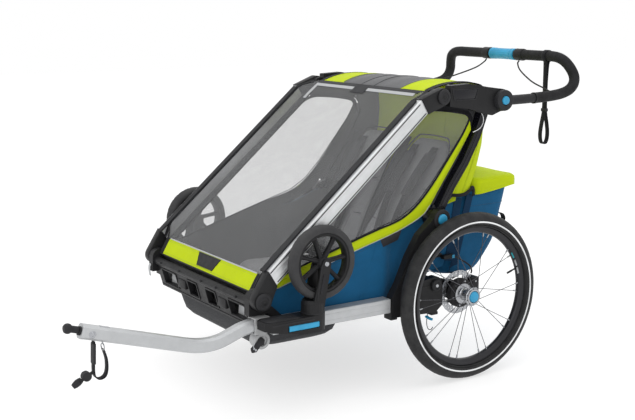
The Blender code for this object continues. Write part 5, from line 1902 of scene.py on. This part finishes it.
def make_suspension():
    paint_pair("suspension_arm", "black")
    body = [(0.0262, 0.264), (0.0282, 0.2655), (0.0282, 0.286), (0.0262, 0.2875)]
    both(lathe("hub_carrier_left", body, AXLE, "black_soft", steps=48, closed=True), *SUSPENSION)
    leaf = [P(0.3, -0.083, 0.214), P(0.3, -0.05, 0.2165), P(0.3, -0.01, 0.219), P(0.3, 0.01, 0.2215)]
    both(sweep("leaf_spring_left", resample(leaf, 9), slab(0.016, 0.0042), "steel", up=(0, 0, 1)), *SUSPENSION)
    both(
        rounded_box("leaf_block_left", (0.289, -0.003, 0.206), (0.3115, 0.025, 0.2235), "black", None, 0.003),
        *SUSPENSION
    )
    both(
        rounded_box("spring_seat_left", (0.301, -0.112, 0.197), (0.336, -0.086, 0.207), "black", None, 0.003),
        "base"
    )
    lever = [P(0.328, -0.125, 0.196), P(0.334, -0.124, 0.193), P(0.342, -0.12, 0.19), P(0.347, -0.116, 0.189)]
    both(sweep("parking_lever_left", smooth(lever, 4), slab(0.011, 0.0052), "blue", up=(0, 0, 1)), "base")
    hook = [
        P(0.325, -0.118, 0.201), P(0.327, -0.122, 0.176), P(0.329, -0.118, 0.157), P(0.33, -0.108, 0.153),
        P(0.33, -0.101, 0.159)
    ]
    both(pipe("wire_hook_left", smooth(hook, 5), 0.0013, "spoke", sides=8), "base")
    both(
        rounded_box("calliper_cap_left", (0.3335, 0.045, 0.25), (0.3358, 0.069, 0.285), "black_soft", None, 0.001),
        *SUSPENSION
    )
    bolts = [
        sweep(f"calliper_bolt_{z}", [P(0.335, 0.057, z), P(0.3368, 0.057, z)], circle(0.003, 6), "steel")
        for z in (0.257, 0.278)
    ]
    both(joined("calliper_bolts_left", bolts), *SUSPENSION)

    route = [
        (0.2785, 0.018, 0.35), (0.285, 0.046, 0.333), (0.294, 0.068, 0.316), (0.2995, 0.071, 0.302),
        (0.3, 0.0685, 0.293)
    ]
    path = smooth([P(*p) for p in route], 8)
    for side, sign in SIDES:
        line = [Vector((p.x * sign, p.y, p.z)) for p in path]
        cable = pipe(f"brake_line_{side}", line, 0.0025, "black_soft", sides=10)
        tuple(line[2])
        tuple(line[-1])
        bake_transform(cable)
        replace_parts(cable, f"brake_cable_{side}")
        length = sum((b - a).length for a, b in zip(line, line[1:]))
        tuple(line[0])
        [tuple(p) for p in line]
    both(
        rounded_box("cable_clip_left", (0.2665, -0.025, 0.344), (0.284, 0.016, 0.356), "black", None, 0.002), "base"
    )
    both(
        rounded_box("cable_clip_end_left", (0.284, 0.006, 0.345), (0.286, 0.015, 0.355), "blue", None, 0.0006),
        "base"
    )
    both(
        rounded_box("cable_clip_arm_left", (0.26, -0.09, 0.349), (0.268, -0.02, 0.361), "black", None, 0.002),
        "base"
    )


make_suspension()

# ------------------------------------------------------------------ casters


def make_casters():
    x0, y0, z0 = 0.367, -0.518, 0.417  # the stowed wheel's middle
    ring = [
        (0.1012, 0.007), (0.102, 0.0), (0.1012, -0.007), (0.099, -0.013), (0.095, -0.0166), (0.088, -0.0176),
        (0.0822, -0.016), (0.0812, -0.012)
    ]
    ring += [(0.0812, 0.012), (0.0822, 0.016), (0.088, 0.0176), (0.095, 0.0166), (0.099, 0.013)]

    def tread(r, x, turn):
        along = turn * 14 / math.pi + (x * 26.0 if x > 0 else -x * 26.0)
        return r - (0.0011 if (along % 1.0) < 0.16 and r > 0.096 and abs(x) > 0.002 else 0.0)

    tyre = lathe(
        "caster_tyre_left", ring, (y0, z0), "caster_rubber", steps=168, closed=True, middle_x=x0, shape=tread,
        angle=45
    )
    rim = [
        (0.0826, 0.0128), (0.0826, -0.0128), (0.079, -0.0144), (0.074, -0.0136), (0.0722, -0.01), (0.0722, 0.01),
        (0.074, 0.0136), (0.079, 0.0144)
    ]
    pieces = [lathe("rim", rim, (y0, z0), "black", steps=96, closed=True, middle_x=x0, angle=30)]
    for k, t in enumerate(turns(7)):
        path = resample([P(x0, *on_circle((y0, z0), r, t + 0.12)) for r in (0.012, 0.045, 0.0735)], 9)
        pieces.append(
            sweep(
                f"spoke_{k}", path, lambda s: slab(0.01 + 0.004 * abs(2 * s - 1) ** 2, 0.0165 - 0.004 * s, 0.0022),
                "black", up=(1, 0, 0)
            )
        )
        pieces.append(
            sweep(
                f"spoke_rib_{k}", [p + X_AXIS * 0.0072 for p in path], lambda s: slab(0.0036, 0.0036, 0.001),
                "black_soft", up=(1, 0, 0)
            )
        )
    hub = [
        (0.0054, 0.0184), (0.012, 0.0184), (0.0152, 0.016), (0.016, 0.011), (0.016, -0.011), (0.0152, -0.016),
        (0.012, -0.0184), (0.0054, -0.0184)
    ]
    pieces.append(lathe("hub", hub, (y0, z0), "black_soft", steps=40, closed=True, middle_x=x0))
    wheel = joined("caster_rim_left", pieces)
    left, right = both(tyre, *CASTER_WHEELS)
    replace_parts(left, "caster_wheel_left")
    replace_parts(right, "caster_wheel_right")
    both(wheel, *CASTER_WHEELS)
    paint_pair("caster_fork", "black")
    bolt = [(0.0, 0.029), (0.003, 0.029), (0.0038, 0.0275), (0.006, 0.0272), (0.0066, 0.0262), (0.0, 0.0262)]
    both(lathe("caster_bolt_left", bolt, (y0, z0), "steel", steps=24, middle_x=x0), *CASTER_FORKS)
    slot = [(-0.5405, 0.336), (-0.533, 0.338), (-0.521, 0.388), (-0.5285, 0.39)]
    both(plate("fork_slot_left", slot, 0.3931, 0.3942, "black_gloss", bevel=0.0004), *CASTER_FORKS)
    rim_line = [(-0.5485, 0.32), (-0.5385, 0.39), (-0.533, 0.415)]
    both(
        sweep("fork_edge_left", smooth(flat(rim_line, 0.3935), 4), slab(0.003, 0.002), "black_soft", up=(1, 0, 0)),
        *CASTER_FORKS
    )
    collar = [P(*on_circle((x0, -0.547), 0.0318, t), 0.286) for t in turns(40)]
    both(pipe("fork_collar_left", collar, 0.0016, "black_soft", sides=8, closed=True), *CASTER_FORKS)


make_casters()

# ------------------------------------------------------------------ push bar


def make_push_bar():
    side = [
        (0.303, 0.165, 0.8105), (0.303, 0.185, 0.811), (0.303, 0.3, 0.813), (0.303, 0.39, 0.818),
        (0.303, 0.44, 0.828), (0.303, 0.465, 0.845)
    ]
    side += [
        (0.3, 0.4735, 0.868), (0.292, 0.468, 0.892), (0.277, 0.459, 0.914), (0.255, 0.454, 0.927),
        (0.225, 0.452, 0.932), (0.18, 0.452, 0.932), (0.096, 0.452, 0.932)
    ]
    near = smooth([P(*p) for p in side], 6)
    cut = next(i for i, p in enumerate(near) if p.y > AXLE_Y + 0.288)
    foam_part, arm_part = near[cut:], near[: cut + 1]
    foam = sweep("push_bar_foam_left", foam_part, circle(0.0165, 24), "foam", angle=60)
    foam, _ = both(foam, "push_bar")
    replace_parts(foam, "push_bar")
    arm = sweep(
        "push_bar_arm_left", arm_part, lambda t: circle(0.0122 + 0.0022 * min(1.0, t * 2.2), 20), "black_soft",
        angle=60
    )
    both(arm, "push_bar")
    end_ring = sweep(
        "foam_end_left", [near[cut] - Vector((0, 0.003, 0)), near[cut] + Vector((0, 0.004, 0))], circle(0.0172, 24),
        "black"
    )
    both(end_ring, "push_bar")
    hub = [(0.0, 0.3132), (0.0235, 0.3132), (0.025, 0.3118), (0.025, 0.2882), (0.0235, 0.2868), (0.0, 0.2868)]
    both(lathe("push_hub_left", hub, PUSH_PIVOT, "black_soft", steps=48), "push_bar")
    collar = [
        (0.0, 0.0962), (0.0172, 0.0962), (0.019, 0.095), (0.0196, 0.09), (0.0192, 0.07), (0.0196, 0.064),
        (0.0186, 0.0614), (0.0, 0.0614)
    ]
    both(lathe("push_bar_collar_left", collar, CROSS_BAR, "black", steps=40), "push_bar")
    core = [(0.0, 0.062), (0.0116, 0.062), (0.0116, -0.062), (0.0, -0.062)]
    lathe("push_bar_core", core, CROSS_BAR, "black_metal", "push_bar", 24)

    def ribbed(r, x, turn):
        return r * (1.0 + 0.012 * math.cos(18 * turn)) if r > 0.015 and abs(x) < 0.05 else r

    grip = [
        (0.0124, 0.0568), (0.0178, 0.0568), (0.019, 0.055), (0.019, 0.0505), (0.0182, 0.049), (0.0178, 0.025),
        (0.0177, 0.0), (0.0178, -0.025), (0.0182, -0.049)
    ]
    grip += [(0.019, -0.0505), (0.019, -0.055), (0.0178, -0.0568), (0.0124, -0.0568)]
    piece = lathe(
        "brake_twist_grip", grip, CROSS_BAR, "blue", "brake_grip", 108, closed=True, shape=ribbed, angle=50
    )
    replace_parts(piece, "brake_grip")
    rings = [
        lathe(
            f"grip_ring_{k}",
            [(0.0176, x - 0.0022), (0.0187, x - 0.0016), (0.0187, x + 0.0016), (0.0176, x + 0.0022)], CROSS_BAR,
            "blue", steps=48, closed=True
        ) for k, x in enumerate((-0.04, 0.04))
    ]
    joined("brake_grip_rings", rings, body="brake_grip")

    route = [
        (0.079, 0.446, 0.9122), (0.082, 0.438, 0.902), (0.112, 0.424, 0.881), (0.19, 0.4, 0.852),
        (0.258, 0.392, 0.834), (0.2855, 0.393, 0.8235)
    ]
    path = smooth([P(*p) for p in route], 6)
    for tag, sign in SIDES:
        line = [Vector((p.x * sign, p.y, p.z)) for p in path]
        cable = pipe(f"push_bar_line_{tag}", line, 0.0025, "black_soft", "push_bar", 10)
        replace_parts(cable, f"push_bar_cable_{tag}")
        length = sum((b - a).length for a, b in zip(line, line[1:]))
        tuple(line[0])
        [tuple(p) for p in line]


make_push_bar()


def make_wrist_strap():
    route = arc(CROSS_BAR, 0.0184, -66, 246, 26)
    route += [
        (0.4462, 0.905), (0.4468, 0.85), (0.447, 0.79), (0.4458, 0.752), (0.4395, 0.722), (0.434, 0.69),
        (0.4355, 0.667), (0.442, 0.6545)
    ]
    route += [
        (0.45, 0.6515), (0.458, 0.6545), (0.464, 0.667), (0.4655, 0.69), (0.46, 0.722), (0.453, 0.752),
        (0.451, 0.79), (0.4512, 0.85), (0.4545, 0.905)
    ]
    line = [P(0.2, a, b) for a, b in route]
    points = smooth(line, 3, closed=True)
    count = len(points)
    verts, faces = [], []
    for i, p in enumerate(points):
        along = (points[(i + 1) % count] - points[i - 1]).normalized()
        out = Vector((0, -along.z, along.y))
        for a, b in slab(0.0175, 0.0019, 0.0007):
            verts.append(p + X_AXIS * a + out * b)
    for i in range(count):
        j = (i + 1) % count
        for k in range(8):
            m = (k + 1) % 8
            faces.append((i * 8 + k, i * 8 + m, j * 8 + m, j * 8 + k))
    strap = add_mesh("wrist_strap_webbing", verts, faces, "webbing", "push_bar", 60)
    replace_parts(strap, "wrist_strap")
    rounded_box(
        "wrist_strap_keeper", (0.1895, 0.4425, 0.756), (0.2105, 0.4555, 0.766), "black_soft", "push_bar", 0.0018
    )
    for k, z in enumerate((0.778, 0.79)):
        line = [P(0.1935 + 0.013 * t / 6, 0.4452, z) for t in range(7)]
        stitches(f"wrist_strap_stitching_{k}", line, "dark_thread", "push_bar", 0.0022, 0.0008)


make_wrist_strap()

# ------------------------------------------------------------------ tow arm


def make_hitch():
    paint("hitch_receiver", "grey")
    paint("hitch_ball", "black_soft")
    x0 = 0.312  # the arm lies to the left of the middle
    line = [
        (-1.178, 0.322), (-1.034, 0.279), (-0.905, 0.24), (-0.87, 0.2315), (-0.835, 0.2285), (-0.8, 0.232),
        (-0.765, 0.243), (-0.738, 0.252), (-0.712, 0.257), (-0.69, 0.2578), (-0.658, 0.2578)
    ]
    path = [P(x0, y, z) for y, z in line]
    bend = smooth(path[2:9], 6)
    whole = [path[0], path[1]] + bend + path[9:]
    arm = sweep("tow_arm_tube", whole, slab(0.0295, 0.036, 0.0062), "alu_dull", "hitch_arm", up=(0, 0, 1), angle=30)
    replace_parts(arm, "hitch_arm")
    along = (path[0] - path[1]).normalized()
    sweep(
        "tow_arm_end", [path[0] - along * 0.006, path[0] + along * 0.0012], slab(0.0302, 0.0368, 0.006), "alu_dull",
        "hitch_arm", up=(0, 0, 1)
    )
    sweep("tow_arm_neck", [path[0], path[0] + along * 0.006], circle(0.0112, 28), "black_soft", "hitch_arm")
    bolt = [(0.0, 0.3296), (0.0032, 0.3296), (0.004, 0.3286), (0.0062, 0.3282), (0.007, 0.327), (0.0, 0.327)]
    lathe("tow_arm_bolt", bolt, (-1.153, 0.312), "steel", "hitch_arm", 32)
    lathe(
        "tow_arm_bolt_washer", [(0.0, 0.3274), (0.009, 0.3274), (0.0094, 0.3268), (0.0, 0.3268)], (-1.153, 0.312),
        "steel", "hitch_arm", 32
    )
    plug = [P(x0, y, z) for y, z in ((-1.128, 0.3262), (-1.104, 0.319))]
    sweep("tow_arm_top_plate", plug, slab(0.012, 0.0016), "steel", "hitch_arm", up=(0, 0.3, 1))

    claw = [(0.015, 0.2962), (0.0222, 0.2962), (0.0232, 0.2974), (0.0232, 0.3268), (0.0222, 0.328), (0.015, 0.328)]
    lathe("claw_ring", claw, (-0.68, 0.215), "grey", "base", 56, closed=True)
    lathe(
        "claw_pin", [(0.0, 0.3262), (0.006, 0.3262), (0.0066, 0.3254), (0.0066, 0.3244), (0.0, 0.3244)],
        (-0.68, 0.215), "steel", "base", 32
    )
    lever = [
        (-0.677, 0.205), (-0.6745, 0.218), (-0.68, 0.225), (-0.6905, 0.2262), (-0.7, 0.215), (-0.7165, 0.1995),
        (-0.7135, 0.188), (-0.7, 0.1885), (-0.688, 0.2025)
    ]
    piece = plate("hitch_lever_grip", lever, 0.3245, 0.3318, "black_soft", "hitch_lever", bevel=0.0016)
    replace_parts(piece, "hitch_lever")
    for k, (y, z) in enumerate(((-0.709, 0.2), (-0.7035, 0.195))):
        sweep(
            f"hitch_lever_link_{k}", [P(0.3316, y, z), P(0.3328, y, z)], circle(0.003, 16), "steel", "hitch_lever"
        )
    chain = [P(0.3335, -0.706, 0.216), P(0.3338, -0.711, 0.209), P(0.3336, -0.71, 0.201), P(0.3334, -0.705, 0.198)]
    pipe("hitch_safety_wire", smooth(chain, 5), 0.0011, "steel", "hitch_lever", 8)

    down = [
        (-1.146, 0.2915), (-1.148, 0.25), (-1.149, 0.215), (-1.1455, 0.201), (-1.138, 0.1945), (-1.128, 0.1945),
        (-1.119, 0.201), (-1.1145, 0.217), (-1.115, 0.24), (-1.1195, 0.258), (-1.123, 0.268)
    ]
    strap = sweep(
        "tow_strap", smooth(flat(down, x0), 5), [(b, a) for a, b in slab(0.02, 0.0026, 0.0009)], "webbing",
        "hitch_arm", up=(1, 0, 0), angle=60
    )
    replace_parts(strap, "hitch_strap")
    sweep(
        "tow_strap_sleeve", flat([(-1.1465, 0.286), (-1.1485, 0.235)], x0),
        [(b, a) for a, b in slab(0.0225, 0.0066, 0.002)], "black_soft", "hitch_arm", up=(1, 0, 0)
    )
    ring = [P(x0 + 0.0105 * math.cos(t), -1.1228, 0.2735 + 0.008 * math.sin(t)) for t in turns(32)]
    pipe("tow_strap_ring", ring, 0.0015, "steel", "hitch_arm", 8, closed=True)
    hook = [P(x0, -1.1228, 0.28), P(x0, -1.1226, 0.288), P(x0, -1.122, 0.296)]
    pipe("tow_strap_hook", hook, 0.0019, "steel", "hitch_arm", 8)

    pin = [
        (0.0, x0 - 0.009), (0.0104, x0 - 0.009), (0.012, x0 - 0.0074), (0.012, x0 + 0.0074), (0.0104, x0 + 0.009),
        (0.0, x0 + 0.009)
    ]
    knob = lathe("tow_pin_head", pin, (-1.168, 0.206), "black_soft", "hitch_arm", 40, angle=30)
    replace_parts(knob, "hitch_pin")
    shaft = [P(x0 + 0.004, -1.148, 0.2165), P(x0 + 0.004, -1.168, 0.206), P(x0 + 0.004, -1.186, 0.196)]
    pipe("tow_pin_shaft", shaft, 0.0042, "black", "hitch_arm", 16)
    wing = [P(x0, -1.18, 0.199), P(x0, -1.188, 0.1945), P(x0, -1.196, 0.1895), P(x0, -1.203, 0.185)]
    sweep(
        "tow_pin_wing", resample(wing, 9),
        lambda t: circle(0.0052 + 0.0048 * math.sin(math.pi * (0.15 + 0.75 * t)), 16, 0.55), "black_soft",
        "hitch_arm", up=(1, 0, 0)
    )


make_hitch()
